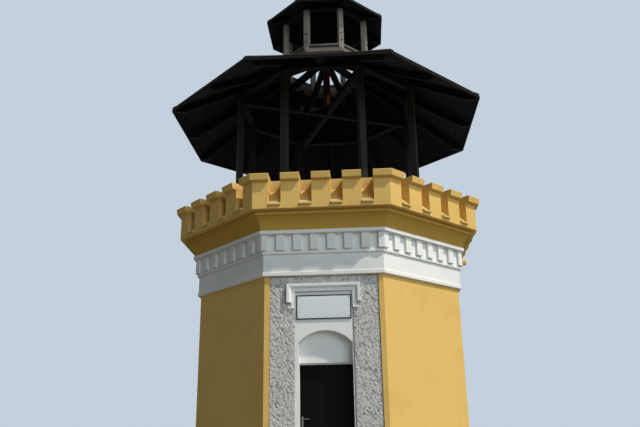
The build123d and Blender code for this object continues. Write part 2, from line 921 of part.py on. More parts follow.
layers = covering_thickness + boarding_thickness
boarding_section = slope_layer(fascia_back - seat, layers, covering_thickness + joint)
write(around(mitred_length(boarding_section, eave_apothem)), "roof_boarding")
covering_section = slope_layer(eave_apothem, covering_thickness, 0)
write(around(mitred_length(covering_section, eave_apothem)), "roof_covering")
fascia_top = eave_top - covering_thickness - seat
fascia_section = polygon_section(
    (fascia_back, eave_top - eave_depth),
    (eave_apothem, eave_top - eave_depth),
    (eave_apothem, fascia_top),
    (fascia_back, fascia_top),
)
write(around(mitred_length(fascia_section, eave_apothem)), "eave_fascia")

# Lantern curb on the rafters, with a heavy rail round its top
curb_section = polygon_section(
    (curb_inner, rafter_top(curb_inner) + seat),
    (curb_apothem, rafter_top(curb_apothem) + seat),
    (curb_apothem, curb_top - curb_ledge_height),
    (curb_apothem + curb_ledge, curb_top - curb_ledge_height),
    (curb_apothem + curb_ledge, curb_top),
    (curb_inner, curb_top),
)
write(around(mitred_length(curb_section, curb_apothem + curb_ledge)), "lantern_curb")

# Lantern posts on the rail, and the beams over them
lantern_hip_drop = lantern_rafter_width / 2 * sin(radians(half_turn)) * lantern_slope + seat
lantern_hip_foot = lantern_rafter_top(lantern_post_apothem + lantern_beam / 2) - lantern_hip_drop
lantern_beam_top = lantern_hip_foot - lantern_rafter_depth - seat
lantern_post_top = lantern_beam_top - lantern_beam
with BuildPart() as lantern_posts:
    with BuildSketch(Plane.XY.offset(curb_top + seat)):
        with PolarLocations(lantern_post_apothem * corner, faces, start_angle=half_turn):
            Rectangle(lantern_post, lantern_post)
    extrude(amount=lantern_post_top - curb_top - 2 * seat)
write(lantern_posts.part, "lantern_posts")

# Low panels between the lantern's posts, each a board under a sill
panel_in = lantern_post_apothem - panel_board / 2
panel_out = lantern_post_apothem + panel_board / 2
panel_foot = curb_top + seat
panel_head = panel_foot + panel_board_height
lantern_panel_section = polygon_section(
    (panel_in, panel_foot),
    (panel_out, panel_foot),
    (panel_out, panel_head),
    (lantern_post_apothem + lantern_sill_out, panel_head),
    (lantern_post_apothem + lantern_sill_out, panel_head + lantern_sill_height),
    (lantern_post_apothem - lantern_sill_in, panel_head + lantern_sill_height),
    (lantern_post_apothem - lantern_sill_in, panel_head),
    (panel_in, panel_head),
)
lantern_panel = mitred_length(lantern_panel_section, curb_apothem, lantern_post + 2 * joint)
write(around(lantern_panel), "lantern_panels")

lantern_beam_section = polygon_section(
    (lantern_post_apothem - lantern_beam / 2, lantern_post_top),
    (lantern_post_apothem + lantern_beam / 2, lantern_post_top),
    (lantern_post_apothem + lantern_beam / 2, lantern_beam_top),
    (lantern_post_apothem - lantern_beam / 2, lantern_beam_top),
)
write(around(mitred_length(lantern_beam_section, lantern_post_apothem + lantern_beam)), "lantern_beams")

# Lantern hips, their heads pointed round the axis
lantern_hip_slope = lantern_slope / corner
lantern_fascia_back = lantern_eave_apothem - fascia_thickness
lantern_hip_outer = (lantern_fascia_back - seat) * corner - lantern_rafter_width / 2 * half_face
lantern_level_cut = lantern_eave_top - lantern_eave_depth + seat


def lantern_hip_top(distance):
    """Top of a lantern hip at a distance from the axis along the hip."""
    return lantern_rafter_top(distance / corner) - lantern_hip_drop


lantern_foot = lantern_hip_outer - (
    lantern_level_cut - lantern_hip_top(lantern_hip_outer) + lantern_rafter_depth
) / lantern_hip_slope
lantern_hip_inner = joint * 2
with BuildPart() as one_lantern_hip:
    with BuildSketch(section_plane):
        with BuildLine():
            Polyline(
                (lantern_hip_inner, lantern_hip_top(lantern_hip_inner) - lantern_rafter_depth),
                (lantern_foot, lantern_level_cut),
                (lantern_hip_outer, lantern_level_cut),
                (lantern_hip_outer, lantern_hip_top(lantern_hip_outer)),
                (lantern_hip_inner, lantern_hip_top(lantern_hip_inner)),
                close=True,
            )
        make_face()
    extrude(amount=lantern_rafter_width / 2, both=True)
    for plane in mitre_planes(joint):
        split(bisect_by=plane, keep=Keep.BOTTOM)
write(around(one_lantern_hip.part, start=half_turn), "lantern_rafters")


def lantern_layer(low_edge, bottom_drop, top_drop):
    """One slope of a layer of the lantern's roof."""
    def level(apothem, drop):
        return lantern_eave_top + (lantern_eave_apothem - apothem) * lantern_slope - drop

    return polygon_section(
        (low_edge, level(low_edge, bottom_drop)),
        (low_edge, level(low_edge, top_drop)),
        (joint, level(joint, top_drop)),
        (joint, level(joint, bottom_drop)),
    )


lantern_layers = lantern_covering + lantern_boarding
lantern_boarding_section = lantern_layer(lantern_fascia_back - seat, lantern_layers, lantern_covering + joint)
write(around(mitred_length(lantern_boarding_section, lantern_eave_apothem)), "lantern_boarding")
lantern_covering_section = lantern_layer(lantern_eave_apothem, lantern_covering, 0)
write(around(mitred_length(lantern_covering_section, lantern_eave_apothem)), "lantern_covering")
lantern_fascia_top = lantern_eave_top - lantern_covering - seat
lantern_fascia_section = polygon_section(
    (lantern_fascia_back, lantern_eave_top - lantern_eave_depth),
    (lantern_eave_apothem, lantern_eave_top - lantern_eave_depth),
    (lantern_eave_apothem, lantern_fascia_top),
    (lantern_fascia_back, lantern_fascia_top),
)
write(around(mitred_length(lantern_fascia_section, lantern_eave_apothem)), "lantern_fascia")

# Metal cap over the point of the roof, folded sheet that fits over the covering
apex = lantern_eave_top + lantern_eave_apothem * lantern_slope
cap_foot = apex + seat - apex_cap_apothem * lantern_slope
apex_cap_section = polygon_section(
    (apex_cap_apothem, cap_foot),
    (apex_cap_apothem + (apex_cap_thickness - seat) / lantern_slope, cap_foot),
    (0, apex + apex_cap_thickness),
    (0, apex + seat),
)
write(around(mitred_length(apex_cap_section, 2 * apex_cap_apothem, 0)), "apex_cap")
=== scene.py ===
import math

import bmesh
import bpy
import numpy as np
from mathutils import Matrix, Vector
from bpy.props import FloatProperty, FloatVectorProperty, IntProperty, PointerProperty


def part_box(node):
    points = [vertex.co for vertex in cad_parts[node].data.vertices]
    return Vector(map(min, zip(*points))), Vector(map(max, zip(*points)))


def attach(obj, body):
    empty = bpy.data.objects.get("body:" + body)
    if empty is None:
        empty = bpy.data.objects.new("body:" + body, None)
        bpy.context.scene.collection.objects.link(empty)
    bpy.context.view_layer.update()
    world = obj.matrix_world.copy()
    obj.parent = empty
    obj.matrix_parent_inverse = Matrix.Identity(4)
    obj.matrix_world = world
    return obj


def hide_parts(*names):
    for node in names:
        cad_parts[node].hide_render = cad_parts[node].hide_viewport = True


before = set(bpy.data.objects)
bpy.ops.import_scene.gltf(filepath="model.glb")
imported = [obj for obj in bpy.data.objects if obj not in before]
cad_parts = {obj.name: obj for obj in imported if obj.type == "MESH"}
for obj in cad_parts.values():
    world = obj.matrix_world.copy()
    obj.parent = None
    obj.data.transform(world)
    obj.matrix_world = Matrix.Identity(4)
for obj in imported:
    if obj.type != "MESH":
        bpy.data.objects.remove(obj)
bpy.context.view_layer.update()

bl_info = {
    "name": "Observation tower",
    "version": (1, 0, 0),
    "blender": (4, 5, 0),
    "location": "View3D > Sidebar > Tower",
    "description": "Plaster, timber, shingles and stage for an octagonal observation tower",
    "category": "Object",
}

# Sizes in metres. The tower stands on its axis at the origin and its door looks along -Y.
FACES = 8
HALF_TURN = math.pi / FACES
HALF_FACE = math.tan(HALF_TURN)
CORNER = 1 / math.cos(HALF_TURN)
FACE_TURNS = np.arange(FACES) * 2 * HALF_TURN

# Sizes read from the frame's own pieces. DOORWAY is the left, the right and the head of the plaster round it.
ROUGHCAST_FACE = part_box("roughcast_coats")[1].x
PANEL_FOOT, PANEL_HEAD = (corner.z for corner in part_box("roughcast_coats"))
DENTIL_FOOT, DENTIL_HEAD = (corner.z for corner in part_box("dentils"))
DOORWAY = (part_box("door_surround")[0].x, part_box("door_surround")[1].x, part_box("door_surround")[1].z)
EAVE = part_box("roof_covering")[1].x
LANTERN_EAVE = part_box("lantern_covering")[1].x

# Sizes that repeat the frame's, because its boxes don't give them. SEAT is the hairline between its pieces.
SEAT = 0.0003
PANEL_GROUND = 2.455
PANEL_HALF = 0.9475
PARAPET_BACK = 2.5603
PARAPET_FACE = 2.924
MERLON_WIDTH = 0.336
GAP_WIDTH = 0.209
DENTILS = 6
DENTIL_WIDTH = 0.146
CORNER_DENTIL = 0.106
ROOF_PITCH = math.radians(31.2)
COVERING = 0.030
BOARDING = 0.025
CURB_FACE = 0.9503
LANTERN_PITCH = math.radians(32.5)
LANTERN_COVERING = 0.026
LANTERN_BOARDING = 0.020
FASCIA = 0.0253
ZINC_EDGE = 0.120
POST = 0.132
POST_APOTHEM = 1.848
LANTERN_POST = 0.115
LANTERN_POST_APOTHEM = 0.905
PLATE_RIM = 0.018
REVEAL_SIDES = (-0.454, 0.470)
REVEAL_DEPTH = (-2.4615, -2.2225)
REVEAL_HEAD = 2.4895
ARCH_CROWN = 2.704
ARCH_RADIUS = 0.606

# The courses as (distance from the axis, height). They follow the shadow lines in the picture, so they lie up
# to 33 mm off the frame's plainer ones.
BAND = [
    (2.5003, 3.650), (2.550, 3.650), (2.557, 3.656), (2.559, 3.712), (2.545, 3.724), (2.545, 4.035),
    (2.580, 4.035), (2.580, 4.080), (2.565, 4.087), (2.565, 4.385), (2.5003, 4.385),
]
CAP = [(2.5003, 4.385), (2.664, 4.385), (2.668, 4.446), (2.5003, 4.446)]
COURSES = {"band_course": BAND, "cap_course": CAP}
DENTIL_BACK = 2.5653
DENTIL_DEPTH = 0.050
DENTIL_PITCH = (
    2 * ((DENTIL_BACK - SEAT + DENTIL_DEPTH) * HALF_FACE - CORNER_DENTIL) + DENTIL_WIDTH
) / (DENTILS + 1)
COPING = [
    (2.5603, 5.274), (2.926, 5.274), (3.003, 5.286), (3.024, 5.390), (3.014, 5.402), (2.5603, 5.402),
]
# A sill: its foot, how far and how high its nose stands, the short rise behind that, and its back's height
SILL_FOOT = 4.821
SILL_OUT = 0.043
SILL_NOSE = 0.031
SILL_SETBACK = 0.010
SILL_RISE = 0.022
SILL_BACK = 5.212
SILL_JOINT = 0.0002
SILL_ARRIS = 0.6

# Roughcast: the grid's step on the face with the door and on the others; how the two sets of lumps lie, with
# their seeds; a lump's length and width against its size, and the smaller lumps' sizes; the patches in which
# one set gives way to the other; how the coat thins out towards its rim; and the relief at its face
ROUGHCAST_STEPS = (0.0105, 0.0145)
LUMP_SETS = ((0.65, 0), (-0.9, 7))
LUMP_LENGTH, LUMP_WIDTH = 1.9, 0.85
MIDDLING_LUMP, FINE_LUMP = 0.5, 0.28
SWAP_WIDTH, SWAP_HEIGHT = 0.21, 0.17
RIM_SHARE, RIM_WIDTH = 0.45, 0.03
MEAN_RELIEF = 0.55
# What the folded lumps, the middling ones and the fine ones add to the relief
FOLDED_PART, MIDDLING_PART, FINE_PART = 0.58, 0.27, 0.15
FOLD_POWER = 0.8
# The random lattice's size, what keeps places on it positive, and how far up a crest the pale tone starts,
# which is partly weathering and partly painted light
LATTICE, LATTICE_SHIFT = 256, 50
CREST_POWER = 1.5

# Boards and shingles. HAIR keeps a piece clear of what it lies on, a joint is left between two pieces, LAP is
# a shingle's length by its course, a last course or cap is at least that share of a whole one, and FILLET is
# where the fillet starts and ends up the slope and its thin edge.
HAIR = 0.001
HIP_JOINT = 0.0005
BOARD_GAP = 0.004
BOARD_SLACK = 0.0006
BOARD_JOINT = 0.001
SHINGLE_WIDTHS = (0.09, 0.17)
SHINGLE_THICKNESS = 0.010
SHINGLE_JOINT = 0.004
SHINGLE_DROP = 0.004
LEAST_SHINGLE = 0.03
LEAST_COURSE, LEAST_CAP = 0.2, 0.3
LAP = 1.25
TILT = 0.010
FILLET = (0.002, 0.10, 0.004)
CAP_WING = 0.085
CAP_THICKNESS = 0.006
CAP_SETBACK = 0.004
# Seeds apart: from one panel to the next, and from the boards to the shingles, the hip caps and the lantern
PANEL_SEEDS = 20
SHINGLE_SEEDS, CAP_SEEDS, LANTERN_SEEDS = 40, 80, 90
# Where the lantern's slopes end beside the axis, and the levels of the bolts in its posts
LANTERN_TOP = 0.0004
LANTERN_BOLTS = (9.375, 9.559)
BOLT_SIDES, SCREW_SIDES = 12, 16

# Plaster in the doorway. The niche's back stands nearer to the face than the door does.
REVEAL_COAT = 0.004
COAT_JOINT = 0.0005
COAT_ARRIS = 0.001
NICHE_FILL = 0.082

# Plate: how deep its face is sunk, how far that swells, its edge and its grid, and how far the screws stand
# from the rim and behind the face; with the points in the niche's arc
PLATE_SINK = 0.004
PLATE_CROWN = 0.0035
SHEET_EDGE = 0.0008
SHEET_GRID = (25, 13)
ARC_POINTS = 25
SCREW_INSET = 0.03
SCREW_SINK = 0.0045
# Drawn as (distance outwards, distance out of the wall) from the thin inner edge, and (radius, distance)
RIM = [
    (-PLATE_RIM - 0.001, -0.012), (-PLATE_RIM - 0.001, -0.003), (-PLATE_RIM + 0.002, 0.0), (-0.006, 0.0),
    (-0.001, -0.001), (-0.001, -0.012),
]
SCREW = [(0.0001, -0.004), (0.011, -0.004), (0.011, 0.0), (0.008, 0.004), (0.0001, 0.0055)]

# Camera, found from the octagon's corners in the picture: its place, its yaw, pitch and roll in degrees, its
# lens in mm; then the way to each light, and the backdrop and the floor as seen and as the light meets it
CAMERA_PLACE = (0.670, -14.140, 0.810)
CAMERA_TURN = (-3.52, 18.83, -0.90)
CAMERA_LENS = 38.62
SENSOR_WIDTH = 36.0
CLIP_END = 500.0
KEY_DIRECTION = (0.547, -0.296, 0.783)
FILL_DIRECTION = (0.56, -0.80, 0.22)
BACKDROP = "#C4D0DC"
FLOOR_SEEN = "#D9DBDB"
FLOOR_SHADE = "#777670"
FLOOR_RADII = (0.0001, 4.0, 12.0, 40.0, 160.0)
FLOOR_SIDES = 96

PANELLED_FACES = {"roughcast_front": 0, "roughcast_right": 90, "roughcast_back": 180, "roughcast_left": 270}
DRESSED = {
    "ochre plaster": [
        "front_right_wall", "back_right_wall", "back_left_wall", "front_left_wall", "right_wall", "back_wall",
        "left_wall", "front_wall_left_of_door", "front_wall_right_of_door", "rain_spout",
    ],
    # The sills' and the cove's finishes are the ochre paint made darker and duller as painted shade
    "sill plaster in painted shade": ["parapet_wall"],
    "cove plaster in painted shade": ["cove_course"],
    "white plaster": ["front_wall_over_door", "door_surround", "hood_mould", "door_head_strip"],
    "concrete": ["ground_slab", "platform_floor", "threshold"],
    "ring timber": ["post_beams", "eave_fascia", "lantern_fascia", "lantern_beams"],
    "grey ring": ["lantern_curb", "lantern_panels"],
    "rafters": ["common_rafters"],
    "hips": ["hip_rafters", "lantern_rafters"],
    "tie beams": ["tie_beams"],
    "red post": ["king_post"],
    "zinc": ["apex_cap"],
    "iron": ["frame_hinges", "leaf_hinges"],
    "door paint": ["door_leaf", "door_frame"],
    "steel": ["door_handles"],
    "enamel rim": ["sign_plate"],
}


# Meshes

# Steps in the rounding of an edge; inward corners that turn by less than SHALLOW_TURN stay sharp; and a soft
# end takes in a little less than the rounding, so that its corners keep a width
ROUND_STEPS = 3
SHALLOW_TURN = 0.35
SOFT_SHARE = 0.98


def grid_quads(rows, columns, closed=False):
    """Quads between successive rows of points. closed joins each row's last point to its first."""
    row = np.arange(rows - 1)[:, None] * columns
    step = np.arange(columns if closed else columns - 1)[None]
    ahead = (step + 1) % columns
    return np.stack([row + step, row + ahead, row + columns + ahead, row + columns + step], -1).reshape(-1, 4)


def unit(vectors):
    """Vectors, each divided by its length."""
    return vectors / np.linalg.norm(vectors, axis=1, keepdims=True)


def rounded_outline(corners, radius):
    """A closed outline, counter-clockwise, with its corners rounded, and its outward directions. A point of a
    corner is the curve's centre plus, at an inward corner minus, the radius times a direction that turns
    evenly from one side's normal to the next one's. A shallow inward corner stays one point, and its
    direction is the mitre."""
    corners = np.asarray(corners, float)
    ahead = unit(np.roll(corners, -1, 0) - corners)
    behind = np.roll(ahead, 1, 0)
    normal_in = behind[:, ::-1] * [1, -1]
    normal_out = ahead[:, ::-1] * [1, -1]
    mitre = (normal_in + normal_out) / (1 + (normal_in * normal_out).sum(1, keepdims=True))
    turn = np.arctan2(behind[:, 0] * ahead[:, 1] - behind[:, 1] * ahead[:, 0], (behind * ahead).sum(1))
    share = np.linspace(0, 1, ROUND_STEPS + 1)
    angle = np.arctan2(normal_in[:, 1], normal_in[:, 0])[:, None] + turn[:, None] * share
    curved = np.repeat(((turn > 0) | (turn < -SHALLOW_TURN))[:, None], ROUND_STEPS + 1, 1)
    direction = np.where(curved[..., None], np.stack([np.cos(angle), np.sin(angle)], -1), mitre[:, None])
    bend = np.where(turn > 0, radius, -radius)[:, None, None]
    points = corners[:, None] + np.where(curved[..., None], bend * (direction - mitre[:, None]), 0)
    keep = curved | (share[None] == 0)
    return points[keep], direction[keep]


def capped(rings, normals, faces, ends):
    """A solid from its rings, closed at the first and the last one. The end faces have points of their own,
    so that they stay flat to the light; ends holds the way each of them looks."""
    size = rings.shape[-2]
    rows = rings.reshape(-1, size, 3)
    first = len(rows) * size
    looks = np.repeat(np.asarray(ends, float), size, 0)
    return {
        "vertices": np.concatenate([rows.reshape(-1, 3), rows[0], rows[-1]]),
        "normals": np.concatenate([normals.reshape(-1, 3), looks]),
        "faces": [*faces, first + np.arange(2 * size).reshape(2, size)],
    }


def rounded_prism(corners, low, high, radius, soft_foot=True):
    """A plan outline carried upwards, with its arrises rounded. Near each soft end the outline shrinks by
    radius * (1 - sin t) while it climbs radius * (1 - cos t), for t from 0 to a quarter turn."""
    points, direction = rounded_outline(corners, radius)
    curve = np.linspace(0, math.pi / 2, ROUND_STEPS + 1)
    foot = curve if soft_foot else curve[-1:]
    t = np.concatenate([foot, curve[::-1]])
    side = np.repeat([-1.0, 1.0], [len(foot), len(curve)])
    climb = np.where(soft_foot | (side > 0), 1 - np.cos(t), 0)
    level = np.where(side < 0, low, high) - side * radius * climb
    shrink = SOFT_SHARE * radius * (1 - np.sin(t))
    size = (len(t), len(points), 1)
    plan = points[None] - shrink[:, None, None] * direction[None]
    vertices = np.concatenate([plan, np.broadcast_to(level[:, None, None], size)], -1)
    lean = np.broadcast_to((side * np.cos(t))[:, None, None], size)
    normals = np.concatenate([unit(direction)[None] * np.sin(t)[:, None, None], lean], -1)
    return capped(vertices, normals, [grid_quads(len(t), len(points), closed=True)], ((0, 0, -1), (0, 0, 1)))


def rectangle(x0, x1, y0, y1):
    """The four corners of a rectangle, counter-clockwise."""
    return [(x0, y0), (x1, y0), (x1, y1), (x0, y1)]


def spin(angles):
    """Matrices that turn about the upright axis by each angle."""
    angles = np.asarray(angles, float)
    cosine, sine, zero, one = np.cos(angles), np.sin(angles), np.zeros_like(angles), np.ones_like(angles)
    return np.stack([cosine, -sine, zero, sine, cosine, zero, zero, zero, one], -1).reshape(-1, 3, 3)


def repeat(shape, turns, shifts=((0, 0, 0),)):
    """Copies of a shape: each vertex is the turn's matrix times the vertex moved by each shift."""
    shifts = np.asarray(shifts, float)
    moved = shape["vertices"][None] + shifts[:, None]
    count = len(turns) * len(shifts)
    start = np.arange(count)[:, None, None] * len(shape["vertices"])
    made = {
        "vertices": np.einsum("tij,snj->tsni", turns, moved).reshape(-1, 3),
        "faces": [(f[None] + start).reshape(-1, f.shape[1]) for f in shape["faces"]],
    }
    if "normals" in shape:
        turned = np.einsum("tij,nj->tni", turns, shape["normals"])
        made["normals"] = np.repeat(turned[:, None], len(shifts), 1).reshape(-1, 3)
    if "tone" in shape:
        made["tone"] = np.tile(shape["tone"], count)
    return made


def join(*shapes):
    """Several shapes as one."""
    start = np.cumsum([0] + [len(s["vertices"]) for s in shapes])
    made = {
        "vertices": np.concatenate([s["vertices"] for s in shapes]),
        "faces": [f + n for s, n in zip(shapes, start) for f in s["faces"]],
    }
    for key in ("normals", "tone"):
        if all(key in s for s in shapes):
            made[key] = np.concatenate([s[key] for s in shapes])
    return made


def octagon(apothem):
    """The octagon's corners, counter-clockwise from the door face's left end."""
    angle = FACE_TURNS - math.pi / 2 - HALF_TURN
    return np.stack([np.cos(angle), np.sin(angle)], -1) * apothem * CORNER


def mitred_course(path, profile, radius, closed):
    """A profile of (distance outwards, height) carried along a path, counter-clockwise, with mitred corners.
    A point is the path's corner plus the mitre direction times the distance; a side has its own points, so
    that its corners stay crisp."""
    path = np.asarray(path, float)
    points, direction = rounded_outline(profile, radius)
    first = path if closed else path[:-1]
    following = np.roll(path, -1, 0) if closed else path[1:]
    outward = unit(following - first)[:, ::-1] * [1, -1]
    before = np.roll(outward, 1, 0) if closed else np.concatenate([outward[:1], outward])
    after = outward if closed else np.concatenate([outward, outward[-1:]])
    mitre = (before + after) / (1 + (before * after).sum(1, keepdims=True))
    start = mitre if closed else mitre[:-1]
    end = np.roll(mitre, -1, 0) if closed else mitre[1:]
    count, size = len(outward), len(points)
    direction = unit(direction)
    plan = np.stack([first, following], 1)[:, :, None] + np.stack([start, end], 1)[:, :, None] * points[:, :1]
    looks = np.broadcast_to(outward[:, None, None] * direction[:, :1], (count, 2, size, 2))
    vertices = np.concatenate([plan, np.broadcast_to(points[:, 1:], (count, 2, size, 1))], -1)
    normals = np.concatenate([looks, np.broadcast_to(direction[:, 1:], (count, 2, size, 1))], -1)
    faces = [(grid_quads(2, size, closed=True) + np.arange(count)[:, None, None] * 2 * size).reshape(-1, 4)]
    if closed:
        return {"vertices": vertices.reshape(-1, 3), "normals": normals.reshape(-1, 3), "faces": faces}
    along = np.stack([-outward[:, 1], outward[:, 0], np.zeros(count)], -1)
    return capped(vertices, normals, faces, (-along[0], along[-1]))


def turned_to(shape, matrix, shift=(0, 0, 0)):
    """A shape turned by a matrix, then shifted."""
    matrix = np.array(matrix, float).T
    return dict(shape, vertices=shape["vertices"] @ matrix + shift, normals=shape["normals"] @ matrix)


def over_face(shape):
    """From (distance from the axis, height, distance along) to a place over the door face."""
    return turned_to(shape, [[0, 0, -1], [-1, 0, 0], [0, 1, 0]])


def to_front(shape, reach):
    """From (across, up, out of the wall) to the door face at a distance from the axis."""
    return turned_to(shape, [[1, 0, 0], [0, 0, -1], [0, 1, 0]], (0, -reach, 0))


def closed_sheet(front, quads, columns, back, bottom=None, tone=None):
    """A grid of points over the door face as a closed sheet, with straight sides and a flat back. Its border
    runs along the bottom row, or along the line given, up the right side, along the top and down the left
    side. Points that no quad uses are left out."""
    rows = len(front) // columns
    loop = np.concatenate([
        np.arange(columns - 1) if bottom is None else bottom, columns - 1 + np.arange(rows - 1) * columns,
        (rows - 1) * columns + np.arange(columns - 1, 0, -1), np.arange(rows - 1, 0, -1) * columns,
    ])
    used = np.unique(quads)
    place = np.zeros(len(front), int)
    place[used] = np.arange(len(used))
    behind = front[loop]
    behind[:, 1] = back
    ring, edge = len(used) + np.arange(len(loop)), place[loop]
    sides = np.stack([ring, np.roll(ring, -1), np.roll(edge, -1), edge], 1)
    made = {
        "vertices": np.concatenate([front[used], behind]),
        "faces": [place[quads], sides, ring[::-1][None]],
    }
    if tone is not None:
        made["tone"] = np.concatenate([tone[used], np.zeros(len(loop))])
    return made


def crowned_sheet(x0, x1, z0, z1, reach, crown):
    """A thin sheet with a crowned face: its height is crown * (1 - u^4) * (1 - v^4), for u and v from -1 to 1
    across and up, and its edge is straight."""
    u, v = np.meshgrid(*(np.linspace(-1, 1, count) for count in SHEET_GRID))
    height = crown * (1 - u ** 4) * (1 - v ** 4) + SHEET_EDGE
    x, z = x0 + (u + 1) / 2 * (x1 - x0), z0 + (v + 1) / 2 * (z1 - z0)
    front = np.stack([x, -(reach + height), z], -1).reshape(-1, 3)
    return closed_sheet(front, grid_quads(*u.shape), u.shape[1], -reach)


def outward_faces(shape):
    """The faces, each turned so that it looks the way its points' normals do."""
    turned = []
    for faces in shape["faces"]:
        corners = shape["vertices"][faces]
        edges = corners - corners[:, :1]
        across = np.cross(edges, np.roll(edges, -1, 1)).sum(1)
        inward = (across * shape["normals"][faces].mean(1)).sum(1) < 0
        turned += np.where(inward[:, None], faces[:, ::-1], faces).tolist()
    return turned


def add_object(name, data):
    """Puts an object with its data into the scene."""
    made = bpy.data.objects.new(name, data)
    bpy.context.scene.collection.objects.link(made)
    return made


def make_piece(name, shape, key, stands_for=(), smooth=None):
    """Puts a shape into a mesh with its finish, as a piece of the tower. Its normals are the shape's own, or
    else it is smooth up to an angle in degrees."""
    mesh = bpy.data.meshes.new(name)
    if "normals" in shape:
        mesh.from_pydata(shape["vertices"], [], outward_faces(shape))
    else:
        mesh.from_pydata(shape["vertices"], [], [f for faces in shape["faces"] for f in faces.tolist()])
        shell = bmesh.new()
        shell.from_mesh(mesh)
        bmesh.ops.recalc_face_normals(shell, faces=shell.faces)
        shell.to_mesh(mesh)
        shell.free()
    if "tone" in shape:
        tone = mesh.attributes.new("tone", "FLOAT", "POINT")
        tone.data.foreach_set("value", shape["tone"].astype(np.float32))
    mesh.validate()
    if "normals" in shape:
        mesh.shade_smooth()
        mesh.normals_split_custom_set_from_vertices(shape["normals"])
    elif smooth is not None:
        mesh.shade_smooth()
        mesh.set_sharp_from_angle(angle=math.radians(smooth))
    mesh.materials.append(finishes[key])
    piece = add_object(name, mesh)
    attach(piece, "tower")
    if stands_for:
        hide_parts(*stands_for)


# Finishes

finishes = {}

# Detail of the noise in patches of colour and in the grain, and what sets one field of it apart from the next
PATCH_DETAIL, GRAIN_DETAIL = 5.0, 3.0
PATCH_SHIFT, GRAIN_SHIFT, FACE_SHIFT = 3.7, 11.3, 17.3
# The noise between which a finish goes from its smoothest to its roughest
SHEEN_RANGE = (0.3, 0.7)
# Splashes at a wall's foot: how ragged their edge is, and their fade's start, end and strength, by height
SPLASH_RAGGED, SPLASH_FADE, SPLASH_MOST = 0.9, (0.6, -0.4), 0.7


def linear(code):
    """A colour from its sRGB hex code to linear light: v / 12.92 under 0.04045, else
    ((v + 0.055) / 1.055) ^ 2.4."""
    value = np.array([int(code[i:i + 2], 16) for i in (1, 3, 5)]) / 255
    value = np.where(value <= 0.04045, value / 12.92, ((value + 0.055) / 1.055) ** 2.4)
    return (*value.tolist(), 1.0)


def feed(made, inputs):
    """Fills a node's inputs, each with a value, another node's output, or another node's first output."""
    for key, value in inputs.items():
        if isinstance(value, bpy.types.Node):
            value = value.outputs[0]
        if isinstance(value, bpy.types.NodeSocket):
            made.id_data.links.new(value, made.inputs[key])
        else:
            made.inputs[key].default_value = value


def node(tree, kind, settings=None, inputs=None):
    """Adds one node, with its settings and inputs."""
    made = tree.nodes.new("ShaderNode" + kind)
    for key, value in (settings or {}).items():
        setattr(made, key, value)
    feed(made, inputs or {})
    return made


def face_frame(tree, turned):
    """Object coordinates folded into one face's frame: distance from the axis, distance along the face, and
    height. The angle round the axis is wrapped to half a turn either side of the face's middle, and each face
    is shifted by its own amount so that no two are alike."""
    x, y, z = node(tree, "SeparateXYZ", inputs={0: node(tree, "TexCoord").outputs["Object"]}).outputs
    flat = node(tree, "CombineXYZ", inputs={0: x, 1: y})
    reach = node(tree, "VectorMath", {"operation": "LENGTH"}, {0: flat}).outputs["Value"]
    terms = {"x": x, "y": y, "reach": reach, "turned": turned, "shift": FACE_SHIFT,
             "upper": turned + HALF_TURN, "lower": turned - HALF_TURN}
    for name, operation, *inputs in (
        ("angle", "ARCTAN2", "y", "x"),
        ("folded", "WRAP", "angle", "upper", "lower"),
        ("offset", "SUBTRACT", "folded", "turned"),
        ("cosine", "COSINE", "offset"),
        ("sine", "SINE", "offset"),
        ("across", "MULTIPLY", "reach", "cosine"),
        ("along", "MULTIPLY", "reach", "sine"),
        ("face", "SUBTRACT", "angle", "folded"),
        ("apart", "MULTIPLY_ADD", "face", "shift", "across"),
    ):
        values = {index: terms[key] for index, key in enumerate(inputs)}
        terms[name] = node(tree, "Math", {"operation": operation}, values)
    return node(tree, "CombineXYZ", inputs={0: terms["apart"], 1: terms["along"], 2: z}).outputs[0]


